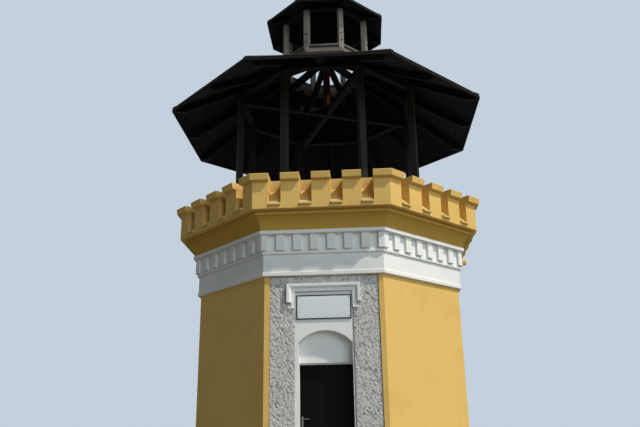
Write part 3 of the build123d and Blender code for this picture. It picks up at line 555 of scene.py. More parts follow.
def finish(name, base, patches, grain, rough, metallic=0.0, frame_turn=None, tilt=0.0, tone=None, foot=None,
           coat=0.0, gloss=0.5):
    """A finish from measured sizes. Each patch is (colour, size, from, to, most): noise of that size lays the
    colour on where it lies between from and to. Each grain is (size, height) and is a bump. A size is in mm
    along x, y and z, or one number for all three. tone is (colour, most), by the piece's own attribute. foot
    is (colour, height in m), for splashes near the ground."""
    material = bpy.data.materials.new(name)
    material.use_nodes = True
    tree = material.node_tree
    if frame_turn is None:
        place = node(tree, "TexCoord").outputs["Object"]
    else:
        place = face_frame(tree, frame_turn)
    if tilt:
        place = node(tree, "Mapping", inputs={"Vector": place, "Rotation": (0.0, tilt, 0.0)})

    def noise(size, detail, shift):
        scale = tuple(1000 / v for v in np.broadcast_to(size, 3).tolist())
        location = (shift, -shift, shift)
        mapped = node(tree, "Mapping", inputs={"Vector": place, "Scale": scale, "Location": location})
        return node(tree, "TexNoise", inputs={"Vector": mapped, "Scale": 1.0, "Detail": detail})

    smoothly = {"interpolation_type": "SMOOTHSTEP"}
    fields = [noise(patch[1], PATCH_DETAIL, PATCH_SHIFT * (i + 1)) for i, patch in enumerate(patches)]
    layers = [
        (node(tree, "MapRange", smoothly,
              {"Value": field, "From Min": start, "From Max": end, "To Max": most}), shade)
        for field, (shade, _, start, end, most) in zip(fields, patches)
    ]
    if tone:
        value = node(tree, "Attribute", {"attribute_name": "tone"}).outputs["Fac"]
        layers.append((node(tree, "MapRange", inputs={"Value": value, "To Max": tone[1]}), tone[0]))
    if foot:
        shade, height = foot
        level = node(tree, "SeparateXYZ", inputs={0: node(tree, "TexCoord").outputs["Object"]}).outputs[2]
        ragged = node(tree, "Math", {"operation": "MULTIPLY_ADD"},
                      {0: fields[0], 1: -SPLASH_RAGGED * height, 2: level})
        start, end = (share * height for share in SPLASH_FADE)
        fade = {"Value": ragged, "From Min": start, "From Max": end, "To Max": SPLASH_MOST}
        layers.append((node(tree, "MapRange", smoothly, fade), shade))
    colour = linear(base) if isinstance(base, str) else tuple(base)
    for amount, shade in layers:
        colour = node(tree, "Mix", {"data_type": "RGBA"}, {0: amount, 6: colour, 7: linear(shade)}).outputs[2]
    sheen = node(tree, "MapRange", inputs={
        "Value": fields[0], "From Min": SHEEN_RANGE[0], "From Max": SHEEN_RANGE[1],
        "To Min": rough[0], "To Max": rough[1],
    })
    normal = {}
    for index, (size, height) in enumerate(grain):
        normal = {"Normal": node(tree, "Bump", inputs={
            "Height": noise(size, GRAIN_DETAIL, GRAIN_SHIFT * (index + 1)), "Distance": height / 1000,
            "Strength": 1.0, **normal,
        })}
    feed(tree.nodes["Principled BSDF"], {
        "Base Color": colour, "Roughness": sheen, "Metallic": metallic, "Coat Weight": coat,
        "Specular IOR Level": gloss, **normal,
    })
    return material


def along_grain(axis, width, length):
    """Noise sizes for wood: thin across the grain and long along the axis, which is 0, 1 or 2."""
    return tuple(length if i == axis else width for i in range(3))


def timber(name, base, dark, pale, axis, frame_turn=None, tilt=0.0):
    """Sawn and stained spruce: growth rings 4 mm apart, drawn 9 mm apart to show, and long checks."""
    return finish(
        name, base,
        patches=[
            (dark, along_grain(axis, 26, 1500), 0.42, 0.68, 0.7),
            (pale, along_grain(axis, 9, 700), 0.52, 0.75, 0.45),
            (dark, 900, 0.5, 0.75, 0.4),
        ],
        grain=[(along_grain(axis, 9, 500), 1.2), (along_grain(axis, 3, 60), 0.4)],
        rough=(0.75, 0.9), frame_turn=frame_turn, tilt=tilt, gloss=0.12,
    )


def make_finishes(colours):
    """Every finish of the tower, by name."""
    made = {}
    # Fine float render with silicate paint: dead matt, cloudy from the roller, faint runs down the wall
    made["ochre plaster"] = finish(
        "Ochre silicate paint on float render", colours.ochre,
        patches=[
            ("#D0AA5A", (900, 900, 700), 0.45, 0.75, 0.5),
            ("#C69F52", (70, 70, 1400), 0.55, 0.8, 0.35),
            ("#E2C179", (240, 240, 200), 0.55, 0.8, 0.3),
        ],
        grain=[(260, 2.2), (7, 0.7)],
        rough=(0.86, 0.95), foot=("#8C7A55", 0.45), gloss=0.2,
    )
    # The run mould's finish coat on the cove: a little deeper and browner than the walls, as painted shade
    # under the parapet's overhang
    made["cove plaster in painted shade"] = finish(
        "Ochre silicate paint on run cove, darkened as painted shade", "#BE9745",
        patches=[("#B8913F", (700, 700, 90), 0.45, 0.75, 0.5), ("#C39A4A", (60, 60, 500), 0.55, 0.8, 0.35)],
        grain=[((300, 300, 40), 1.6), (7, 0.6)],
        rough=(0.86, 0.95), gloss=0.15,
    )
    # Sills and the wall behind the gaps: the same paint, darker and duller as painted shade in the gaps, with
    # fine upright runs
    made["sill plaster in painted shade"] = finish(
        "Ochre paint on trowelled mortar, dulled as painted shade", "#D0B270",
        patches=[("#C0A15C", 300, 0.45, 0.75, 0.45), ("#B09353", (26, 26, 200), 0.55, 0.8, 0.35)],
        grain=[(90, 1.2), (7, 0.6)],
        rough=(0.86, 0.95), gloss=0.2,
    )
    # The same render in white: brightest on the mouldings, with grey runs under the ledges
    made["white plaster"] = finish(
        "White silicate paint on float render", colours.white,
        patches=[("#D5D8D5", (800, 800, 500), 0.45, 0.75, 0.55), ("#C4C8C4", (55, 55, 700), 0.58, 0.82, 0.4)],
        grain=[(220, 1.6), (6, 0.5)],
        rough=(0.84, 0.94), foot=("#98968C", 0.4), gloss=0.25,
    )
    # Thrown roughcast, painted grey: paler on its crests, partly from weathering and partly as painted light
    # on the relief, so darker in the hollows; fine dark specks
    made["roughcast"] = finish(
        "Thrown roughcast", colours.roughcast,
        patches=[("#8B8B88", (600, 600, 500), 0.45, 0.75, 0.3), ("#2F2E2C", (15, 15, 30), 0.49, 0.57, 0.8)],
        grain=[(11, 4.0), (4, 1.0)],
        rough=(0.88, 0.97), tone=("#E4E2DC", 0.9), foot=("#6E6B62", 0.4), gloss=0.2,
    )
    # Floated concrete: fine sand grain and darker damp patches
    made["concrete"] = finish(
        "Floated concrete", "#A3A09A",
        patches=[("#86837C", (500, 500, 400), 0.45, 0.72, 0.6), ("#BDB9B0", 35, 0.55, 0.75, 0.4)],
        grain=[(40, 1.0), (5, 0.5)], rough=(0.82, 0.95),
    )
    for key, *values in (
        # Tarred spruce of the roof frame: nearly black, with the grain showing where light falls along it
        ("boards", "Tarred spruce boards", "#0E0C0B", "#070606", "#171412", 1, 0.0),
        ("ring timber", "Tarred spruce beams", "#110F0D", "#090808", "#1B1815", 1, 0.0),
        ("rafters", "Tarred spruce rafters", "#0F0D0C", "#080707", "#191613", 0, 0.0, ROOF_PITCH),
        ("hips", "Tarred spruce hips", "#0F0D0C", "#080707", "#191613", 0, HALF_TURN, ROOF_PITCH),
        ("tie beams", "Tarred spruce ties", "#0E0C0B", "#080707", "#171412", 0, HALF_TURN),
        # Posts that the rain reaches have bleached to silver grey; those deep under the roof are the same
        # timber darkened to brown-grey as painted shade
        ("grey post", "Weathered spruce posts", "#8E887F", "#5C564E", "#B4AEA4", 2),
        ("shaded post", "Oiled spruce posts", "#2F2B28", "#1E1B18", "#403B37", 2),
        # The lantern's curb and panels, bleached too, but browner where its eaves shelter them
        ("grey ring", "Weathered spruce curb", "#736E66", "#57514A", "#A39C92", 1, 0.0),
        # The king post's stain: red-brown, and deep in the shade of the roof
        ("red post", "Red-brown stained spruce", "#33160F", "#1F0D0A", "#48241A", 2),
    ):
        made[key] = timber(*values)
    # Split larch shingles: dull and silvered by the weather, with a tone that differs from one to the next
    made["shingles"] = finish(
        "Weathered larch shingles", "#4A433C",
        patches=[("#2F2A26", 60, 0.45, 0.7, 0.6), ("#6A635B", 14, 0.52, 0.75, 0.4)],
        grain=[(12, 1.5), (4, 0.6)], rough=(0.78, 0.92), tone=("#7A7168", 0.7),
    )
    # Zinc sheet, weathered to a dull grey skin
    made["zinc"] = finish(
        "Weathered zinc sheet", "#7C8083", metallic=0.6,
        patches=[("#5C6063", 120, 0.45, 0.7, 0.6), ("#9DA1A3", 30, 0.55, 0.75, 0.4)],
        grain=[(90, 0.6)], rough=(0.45, 0.62),
    )
    # Blackened iron of hinges and bolts: a dark skin with a dull shine, and brown where it starts to rust
    made["iron"] = finish(
        "Blackened iron", "#35332F", metallic=0.7,
        patches=[("#4B3A2E", 18, 0.5, 0.72, 0.5)], grain=[(6, 0.3)], rough=(0.5, 0.7),
    )
    # Satin paint on a timber door: nearly black, brush lines along the stiles
    made["door paint"] = finish(
        "Black-green satin paint on spruce", "#070808",
        patches=[("#030404", (500, 500, 700), 0.45, 0.7, 0.6), ("#0D0F10", (6, 6, 500), 0.55, 0.78, 0.4)],
        grain=[((7, 7, 400), 0.3)], rough=(0.5, 0.62), gloss=0.06,
    )
    # Brushed steel lever: satin, finely scratched along the bar, its base darker than bare steel as painted
    # shade in the doorway
    made["steel"] = finish(
        "Brushed steel", "#7D7C79", metallic=1.0,
        patches=[("#6A6966", (80, 4, 4), 0.45, 0.7, 0.5)], grain=[((60, 2, 2), 0.05)], rough=(0.28, 0.38),
    )
    # Enamelled steel sheet: glassy white, a little cooler at its top
    made["enamel"] = finish(
        "White enamel on steel", "#DDE2E4",
        patches=[("#CBD3D8", (700, 700, 260), 0.45, 0.7, 0.5)], grain=[(60, 0.15)],
        rough=(0.16, 0.26), coat=0.3,
    )
    # The plate's rim: the same glassy skin in dark blue-grey
    made["enamel rim"] = finish(
        "Dark enamel on steel", "#2E3A44",
        patches=[("#1F2930", 90, 0.45, 0.7, 0.5)], grain=[(40, 0.1)],
        rough=(0.2, 0.32), coat=0.3,
    )
    return made


def seen_by(tree, *kinds):
    """1 for the kinds of ray that are named, and 0 for the others."""
    rays = node(tree, "LightPath")
    seen = rays.outputs[kinds[0]]
    for kind in kinds[1:]:
        seen = node(tree, "Math", {"operation": "MAXIMUM"}, {0: seen, 1: rays.outputs[kind]})
    return seen


def floor_finish():
    """The floor: pale to the camera, and darker to the light that it throws back, as ground is."""
    material = bpy.data.materials.new("Pale floor")
    material.use_nodes = True
    tree = material.node_tree
    seen = seen_by(tree, "Is Camera Ray", "Is Glossy Ray")
    shades = {0: seen, 6: linear(FLOOR_SHADE), 7: linear(FLOOR_SEEN)}
    colour = node(tree, "Mix", {"data_type": "RGBA"}, shades)
    feed(tree.nodes["Principled BSDF"], {"Roughness": 0.9, "Base Color": colour.outputs[2]})
    return material


# Pieces

def lattice_noise(x, y, seed):
    """Smooth random field: seeded values on a unit lattice, blended between its points by 3t^2 - 2t^3."""
    table = np.random.default_rng(seed).random((LATTICE, LATTICE))
    i, j = np.floor(x).astype(int), np.floor(y).astype(int)
    s, t = x - i, y - j
    s, t = s * s * (3 - 2 * s), t * t * (3 - 2 * t)
    corner = [table[(i + p) % LATTICE, (j + q) % LATTICE] for q in (0, 1) for p in (0, 1)]
    return (corner[0] * (1 - s) + corner[1] * s) * (1 - t) + (corner[2] * (1 - s) + corner[3] * s) * t


def roughcast_relief(x, z, lump, seed):
    """Relief of thrown plaster, 0 to 1: stretched lumps that lie one way or the other, folded at their middle
    value so that they have creases, with finer grains on them. What is added to a place on the lattice keeps
    it positive and each field apart from the others."""
    fields = []
    for turn, start in LUMP_SETS:
        u = (x * math.cos(turn) + z * math.sin(turn)) / (lump * LUMP_LENGTH) + 40
        v = (z * math.cos(turn) - x * math.sin(turn)) / (lump * LUMP_WIDTH) + 60
        fields.append(1 - np.abs(2 * lattice_noise(u, v, seed + start) - 1))
    blend = np.clip(3 * lattice_noise(x / SWAP_WIDTH + 9, z / SWAP_HEIGHT + 9, seed + 3) - 1, 0, 1)
    folded = fields[0] * blend + fields[1] * (1 - blend)
    middling, fine = (
        lattice_noise(x / (lump * share) + LATTICE_SHIFT, z / (lump * share) + LATTICE_SHIFT, seed + start)
        for share, start in ((MIDDLING_LUMP, 4), (FINE_LUMP, 5))
    )
    return np.clip(FOLDED_PART * folded ** FOLD_POWER + MIDDLING_PART * middling + FINE_PART * fine, 0, 1)


def roughcast_panel(step, lump, depth, seed, notch=()):
    """A roughcast coat as a grid over the panel, its depth the relief, closed by straight sides and a back.
    notch is (left, right, head) of the doorway's plaster, which the coat leaves free."""
    def spaced(*stops):
        runs = [np.linspace(a, b, max(2, round((b - a) / step) + 1)) for a, b in zip(stops, stops[1:])]
        return np.concatenate([runs[0], *(run[1:] for run in runs[1:])])

    x, z = spaced(-PANEL_HALF, *notch[:2], PANEL_HALF), spaced(PANEL_FOOT, *notch[2:], PANEL_HEAD)
    across, up = np.meshgrid(x, z)
    rim = np.minimum.reduce([across + PANEL_HALF, PANEL_HALF - across, PANEL_HEAD - up])
    columns = len(x)
    quads, bottom = grid_quads(len(z), columns), None
    if notch:
        left, right, head = notch
        beside = np.maximum.reduce([left - across, across - right, up - head])
        rim = np.minimum(rim, np.maximum(beside, 0))
        quads = quads[beside.ravel()[quads].max(1) > HAIR]
        i0, i1 = (int(np.argmin(abs(x - side))) for side in (left, right))
        j = int(np.argmin(abs(z - head)))
        bottom = np.concatenate([
            np.arange(i0), i0 + np.arange(j) * columns, j * columns + np.arange(i0, i1),
            i1 + np.arange(j, 0, -1) * columns, np.arange(i1, columns - 1),
        ])
    relief = roughcast_relief(across, up, lump, seed) * np.clip(RIM_SHARE + rim / RIM_WIDTH, 0, 1)
    front = np.stack([across, -(ROUGHCAST_FACE + depth * (relief - MEAN_RELIEF)), up], -1).reshape(-1, 3)
    # The tone, paler on the crests, is partly weathering and partly painted light on the relief
    return closed_sheet(front, quads, columns, -PANEL_GROUND, bottom, relief.ravel() ** CREST_POWER)


def boxes(corners, box, tone):
    """Many small solids at once: corners holds each corner of all of them, box the faces of one."""
    start = np.arange(len(tone))[:, None, None] * len(corners)
    return {
        "vertices": np.stack(corners, 1).reshape(-1, 3), "faces": [(box[None] + start).reshape(-1, 4)],
        "tone": np.repeat(tone, len(corners)),
    }


def roof_courses(eave, eave_top, top, pitch, course, widths, thickness, tilt, lap, lift, seed, gap):
    """Boards or shingles on one slope, in courses from the eave to the top edge. Each is a thin slab from its
    lower edge up to its head; it rises by its tilt at the lower edge, and its ends are cut along the hips,
    where the half width is the distance from the axis times the tangent of half a face's turn."""
    def place(along, up, height):
        """From (along the eave, up the slope, height over it) to a place over the door face."""
        reach = eave - up * math.cos(pitch) + height * math.sin(pitch)
        return np.stack([along, -reach, eave_top + up * math.sin(pitch) + height * math.cos(pitch)], -1)

    random = np.random.default_rng(seed)
    slabs = []
    length = (eave - top) / math.cos(pitch)
    for low in np.arange(0, length - LEAST_COURSE * course, course):
        half = (eave - low * math.cos(pitch)) * HALF_FACE
        edges = np.array([-half, half])
        if widths:
            steps = random.uniform(*widths, int(2 * half / widths[0]) + 3)
            inner = np.cumsum(steps) - steps[0] * random.random() - half
            inner = inner[(inner > -half + LEAST_SHINGLE) & (inner < half - LEAST_SHINGLE)]
            edges = np.concatenate([[-half], inner, [half]])
        slabs.append(np.stack([edges[:-1], edges[1:], np.full(len(edges) - 1, low)], 1))
    start, end, low = np.concatenate(slabs).T
    count = len(low)
    high = np.minimum(low + course * lap, length)
    drop = random.uniform(0, SHINGLE_DROP, count) if widths else np.zeros(count)
    corners = []
    for up, rise in ((np.where(low > 0, low - drop, low), tilt), (high, 0.0)):
        limit = (eave - up * math.cos(pitch)) * HALF_FACE - HIP_JOINT
        left = np.clip(start + gap / 2, -limit, limit)
        right = np.clip(end - gap / 2, -limit, limit)
        for height in (lift + rise, lift + rise + thickness):
            corners += [place(left, up, height), place(right, up, height)]
    # 0-3 at the lower edge (under left, right, over left, right), 4-7 at the head
    box = np.array([[0, 1, 3, 2], [4, 6, 7, 5], [0, 4, 5, 1], [2, 3, 7, 6], [0, 2, 6, 4], [1, 5, 7, 3]])
    return boxes(corners, box, random.random(count))


def round_tower(slopes):
    """Eight slopes, each turned to its face."""
    return join(*(repeat(slope, spin([turn])) for slope, turn in zip(slopes, FACE_TURNS)))


def hip_caps(eave, eave_top, top, pitch, course, seed):
    """Folded caps over the hips: each is two wings that lie on the slopes either side of the hip, lifted at
    the lower edge, so that each course covers the head of the one below. A wing's end is level, as the eave
    is, so its outer point is back by the wing times the tangent of half a face's turn."""
    start, end = eave * CORNER - CAP_SETBACK, top * CORNER
    step = course * math.cos(math.atan(math.tan(pitch) / CORNER))
    outer = np.arange(start, end + step * LEAST_CAP, -step)
    inner = np.maximum(outer - step * LAP, end)
    count = len(outer)
    corners = []
    for reach, rise in ((outer, CAP_THICKNESS), (inner, 0.0)):
        level = eave_top + (eave - reach / CORNER) * math.tan(pitch) + rise
        for side in (-1, 0, 1):
            place = reach - abs(side) * CAP_WING * HALF_FACE
            for over in (HAIR, HAIR + CAP_THICKNESS):
                corners.append(np.stack([place, np.full(count, side * CAP_WING), level + over], 1))
    # Six points at each end: under and over, at the left wing, the ridge and the right wing
    box = np.array([
        [1, 3, 9, 7], [3, 5, 11, 9], [0, 6, 8, 2], [2, 8, 10, 4], [0, 2, 3, 1], [2, 4, 5, 3],
        [6, 7, 9, 8], [8, 9, 11, 10], [0, 1, 7, 6], [4, 10, 11, 5],
    ])
    tones = np.random.default_rng(seed).random((FACES, count))
    return join(*(
        repeat(boxes(corners, box, tone), spin([turn + HALF_TURN])) for tone, turn in zip(tones, FACE_TURNS)
    ))


def corner_plan(outer, inner, length):
    """Plan of a block folded round the corner at the door face's right-hand end."""
    turn = 2 * HALF_TURN
    x = outer * HALF_FACE
    far = np.array([x + length * math.cos(turn), -outer + length * math.sin(turn)])
    back = far + (outer - inner) * np.array([-math.sin(turn), math.cos(turn)])
    inner_corner = (inner * HALF_FACE, -inner)
    return [(x - length, -outer), (x, -outer), tuple(far), tuple(back), inner_corner, (x - length, -inner)]


def turned_profile(profile, segments, axis_turn=0.0):
    """A profile of (distance from the axis, distance along it), carried round a level axis in equal steps."""
    profile = np.asarray(profile, float)
    angle = np.linspace(0, 2 * math.pi, segments, endpoint=False)
    x = np.broadcast_to(profile[:, 1, None], (len(profile), segments))
    y = profile[:, 0, None] * np.cos(angle)
    z = profile[:, 0, None] * np.sin(angle)
    vertices = np.stack([x, y, z], -1).reshape(-1, 3) @ spin([axis_turn])[0].T
    return {"vertices": vertices, "faces": [grid_quads(len(profile), segments, closed=True)]}


# The add-on's settings

class TowerSizes(bpy.types.PropertyGroup):
    """Sizes of the dressing"""
    lump: FloatProperty(
        name="Roughcast lump", description="Width of one thrown lump", default=0.031, unit="LENGTH")
    relief: FloatProperty(
        name="Roughcast relief", description="Depth of the roughcast", default=0.024, unit="LENGTH")
    arris: FloatProperty(
        name="Plaster arris", description="Rounding of plaster edges", default=0.007, unit="LENGTH")
    timber_arris: FloatProperty(
        name="Timber arris", description="Rounding of timber edges", default=0.006, unit="LENGTH")
    course: FloatProperty(
        name="Shingle course", description="Shingle shown in each course", default=0.125, unit="LENGTH")
    board: FloatProperty(
        name="Board width", description="Width of the roof boards", default=0.14, unit="LENGTH")
    bolt: FloatProperty(
        name="Bolt head", description="Width across a bolt's head", default=0.034, unit="LENGTH")
    seed: IntProperty(name="Seed", description="Start of the random widths and relief", default=11)


class TowerColours(bpy.types.PropertyGroup):
    """Main colours, in linear light"""
    ochre: FloatVectorProperty(
        name="Ochre plaster", description="Paint of walls and battlements", subtype="COLOR",
        size=4, default=linear("#DFB86A"), min=0, max=1)
    white: FloatVectorProperty(
        name="White plaster", description="Paint of the band and doorway", subtype="COLOR",
        size=4, default=linear("#E9E9E5"), min=0, max=1)
    roughcast: FloatVectorProperty(
        name="Roughcast", description="Paint of the roughcast", subtype="COLOR",
        size=4, default=linear("#ABAAA8"), min=0, max=1)


class TowerStage(bpy.types.PropertyGroup):
    """Light and background"""
    key: FloatProperty(name="Key light", description="Strength of the key light", default=3.0)
    key_angle: FloatProperty(
        name="Key size", description="How wide the key light looks", default=math.radians(2),
        subtype="ANGLE")
    fill: FloatProperty(
        name="Fill light", description="Strength of the soft light from the front", default=1.5)
    fill_angle: FloatProperty(
        name="Fill size", description="How wide the fill light looks", default=math.radians(46),
        subtype="ANGLE")
    surround: FloatProperty(
        name="Surround", description="Strength of the light from all round", default=0.095)


class TOWER_OT_finishes(bpy.types.Operator):
    """Make the finishes and give them to the frame pieces that keep their shape"""
    bl_idname = "tower.finishes"
    bl_label = "Finishes"

    def execute(self, context):
        finishes.update(make_finishes(context.scene.tower_colours))
        for key, names in DRESSED.items():
            for name in names:
                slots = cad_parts[name].data.materials
                slots.clear()
                slots.append(finishes[key])
        return {"FINISHED"}


class TOWER_OT_roughcast(bpy.types.Operator):
    """Make the roughcast of the four sunk panels"""
    bl_idname = "tower.roughcast"
    bl_label = "Roughcast panels"

    def execute(self, context):
        sizes = context.scene.tower_sizes
        for index, (name, turn) in enumerate(PANELLED_FACES.items()):
            step, notch = (ROUGHCAST_STEPS[1], ()) if index else (ROUGHCAST_STEPS[0], DOORWAY)
            shape = roughcast_panel(step, sizes.lump, sizes.relief, sizes.seed + PANEL_SEEDS * index, notch)
            shape = repeat(shape, spin([math.radians(turn)]))
            make_piece(name, shape, "roughcast", ["roughcast_coats"], smooth=60)
        return {"FINISHED"}


class TOWER_OT_courses(bpy.types.Operator):
    """Make the mouldings that run round the tower, with soft arrises"""
    bl_idname = "tower.courses"
    bl_label = "Band, dentils and cap"

    def execute(self, context):
        arris = context.scene.tower_sizes.arris / 2
        turns = spin(FACE_TURNS)
        for name, profile in COURSES.items():
            shape = mitred_course(octagon(1.0), np.asarray(profile) - [1, 0], arris, closed=True)
            make_piece(name + "_render", shape, "white plaster", [name])
        front = DENTIL_BACK + DENTIL_DEPTH
        plan = rectangle(-DENTIL_WIDTH / 2, DENTIL_WIDTH / 2, -DENTIL_BACK - DENTIL_DEPTH, -DENTIL_BACK)
        block = rounded_prism(plan, DENTIL_FOOT, DENTIL_HEAD, arris)
        plan = corner_plan(front, DENTIL_BACK, CORNER_DENTIL)
        corner = rounded_prism(plan, DENTIL_FOOT, DENTIL_HEAD, arris)
        row = [(x, 0, 0) for x in (np.arange(DENTILS) - (DENTILS - 1) / 2) * DENTIL_PITCH]
        shape = join(repeat(block, turns, row), repeat(corner, turns))
        make_piece("dentil_blocks", shape, "white plaster", ["dentils"])
        return {"FINISHED"}


class TOWER_OT_battlements(bpy.types.Operator):
    """Make the merlons, their copings and the sloping sills between them"""
    bl_idname = "tower.battlements"
    bl_label = "Battlements"

    def execute(self, context):
        arris = context.scene.tower_sizes.arris
        turns = spin(FACE_TURNS)
        pitch = MERLON_WIDTH + GAP_WIDTH
        row = [(x, 0, 0) for x in (-pitch, 0, pitch)]
        side = PARAPET_FACE * HALF_FACE
        corner_length = side - 1.5 * MERLON_WIDTH - 2 * GAP_WIDTH
        low, high = SILL_FOOT, COPING[0][1]
        plan = rectangle(-MERLON_WIDTH / 2, MERLON_WIDTH / 2, -PARAPET_FACE, -PARAPET_BACK)
        merlon = rounded_prism(plan, low, high, arris, soft_foot=False)
        plan = corner_plan(PARAPET_FACE, PARAPET_BACK, corner_length)
        corner = rounded_prism(plan, low, high, arris, soft_foot=False)
        # The wall's belt under the merlons and the sills
        belt = np.array(rectangle(PARAPET_BACK, PARAPET_FACE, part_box("merlons")[0].z, low))
        belt = mitred_course(octagon(1.0), belt - [1, 0], arris / 2, closed=True)
        shape = join(repeat(merlon, turns, row), repeat(corner, turns), belt)
        make_piece("merlon_blocks", shape, "ochre plaster", ["merlons", "corner_merlons"])

        nose = PARAPET_FACE + SILL_OUT
        profile = [
            (PARAPET_BACK, low), (nose, low), (nose, low + SILL_NOSE),
            (PARAPET_FACE - SILL_SETBACK, low + SILL_NOSE + SILL_RISE), (PARAPET_BACK, SILL_BACK),
        ]
        half = GAP_WIDTH / 2 - SILL_JOINT
        sill = over_face(rounded_prism(profile, -half, half, arris * SILL_ARRIS))
        gaps = [(x, 0, 0) for x in np.array([-1.5, -0.5, 0.5, 1.5]) * pitch]
        # The sills take the ochre paint made darker as painted shade of the gaps
        make_piece("gap_sills", repeat(sill, turns, gaps), "sill plaster in painted shade", ["crenel_sills"])

        coping = over_face(rounded_prism(COPING, -MERLON_WIDTH / 2, MERLON_WIDTH / 2, arris))
        turn = 2 * HALF_TURN
        path = [
            (side - corner_length, -PARAPET_FACE), (side, -PARAPET_FACE),
            (side + corner_length * math.cos(turn), -PARAPET_FACE + corner_length * math.sin(turn)),
        ]
        folded = mitred_course(path, np.asarray(COPING) - [PARAPET_FACE, 0], arris, closed=False)
        shape = join(repeat(coping, turns, row), repeat(folded, turns))
        make_piece("coping_stones", shape, "ochre plaster", ["copings"])
        return {"FINISHED"}


class TOWER_OT_roof(bpy.types.Operator):
    """Make the boards, shingles and hip caps of both roofs"""
    bl_idname = "tower.roof"
    bl_label = "Roof boards and shingles"

    def execute(self, context):
        sizes = context.scene.tower_sizes
        step = sizes.board + BOARD_GAP
        for prefix, eave, covering, boarding, pitch, top, apart in (
            ("roof", EAVE, COVERING, BOARDING, ROOF_PITCH, CURB_FACE, 0),
            ("lantern", LANTERN_EAVE, LANTERN_COVERING, LANTERN_BOARDING, LANTERN_PITCH, LANTERN_TOP,
             LANTERN_SEEDS),
        ):
            seed = sizes.seed + apart
            eave_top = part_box(prefix + "_covering")[0].z + covering
            under = -(covering + boarding) * math.cos(pitch)
            over = -covering * math.cos(pitch)
            # The boards' lower edge meets the back of the fascia with its underside
            behind = FASCIA + under * math.sin(pitch)
            thickness = boarding * math.cos(pitch) - BOARD_SLACK
            boards = [roof_courses(
                eave - behind, eave_top + behind * math.tan(pitch), top, pitch, step, None, thickness, 0.0,
                sizes.board / step, under, seed + index, BOARD_JOINT,
            ) for index in range(FACES)]
            shingles = [roof_courses(
                eave, eave_top, top, pitch, sizes.course, SHINGLE_WIDTHS, SHINGLE_THICKNESS, TILT, LAP,
                over + HAIR, seed + SHINGLE_SEEDS + index, SHINGLE_JOINT,
            ) for index in range(FACES)]
            make_piece(
                prefix + "_boards", round_tower(boards), "boards", [prefix + "_boarding"],
            )

            # The fillet is drawn as (up the slope, height over it), from its thick foot to its thin head
            foot, head, thin = FILLET
            wedge = np.array([(foot, over), (head, over), (head, over + thin), (foot, over + TILT)])
            section = np.stack([
                eave - wedge[:, 0] * math.cos(pitch) + wedge[:, 1] * math.sin(pitch) - 1,
                eave_top + wedge[:, 0] * math.sin(pitch) + wedge[:, 1] * math.cos(pitch),
            ], -1)[::-1]
            fillet = mitred_course(octagon(1.0), section, HIP_JOINT, closed=True)
            make_piece(prefix + "_tilting_fillet", fillet, "boards")
            caps = hip_caps(eave, eave_top, max(top, ZINC_EDGE), pitch, sizes.course, seed + CAP_SEEDS)
            shape = join(round_tower(shingles), caps)
            make_piece(prefix + "_shingles", shape, "shingles", [prefix + "_covering"])
        return {"FINISHED"}


class TOWER_OT_posts(bpy.types.Operator):
    """Make the posts of the roof and the lantern, with the lantern's bolts"""
    bl_idname = "tower.posts"
    bl_label = "Posts and bolts"

    def execute(self, context):
        sizes = context.scene.tower_sizes
        turns = spin(FACE_TURNS + HALF_TURN)
        for name, width, apothem, key in (
            # The main posts take the darker post finish, which is painted shade
            ("main_posts", POST, POST_APOTHEM, "shaded post"),
            ("lantern_posts", LANTERN_POST, LANTERN_POST_APOTHEM, "grey post"),
        ):
            low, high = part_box(name)
            reach = apothem * CORNER
            plan = rectangle(reach - width / 2, reach + width / 2, -width / 2, width / 2)
            post = rounded_prism(plan, low.z, high.z, sizes.timber_arris)
            make_piece(name + "_sawn", repeat(post, turns), key, [name])
        # A bolt is a washer, a head and a domed end, from 10 mm inside the post outwards
        face = LANTERN_POST_APOTHEM * CORNER + LANTERN_POST / 2
        head = sizes.bolt / 2
        profile = [
            (0.0001, -0.01), (head * 1.35, -0.01), (head * 1.35, 0.003), (head, 0.004), (head, 0.010),
            (head * 0.6, 0.016), (0.0001, 0.018),
        ]
        shifts = [(face, 0, level) for level in LANTERN_BOLTS]
        bolts = repeat(turned_profile(profile, BOLT_SIDES), turns, shifts)
        make_piece("lantern_bolts", bolts, "iron", smooth=35)
        return {"FINISHED"}


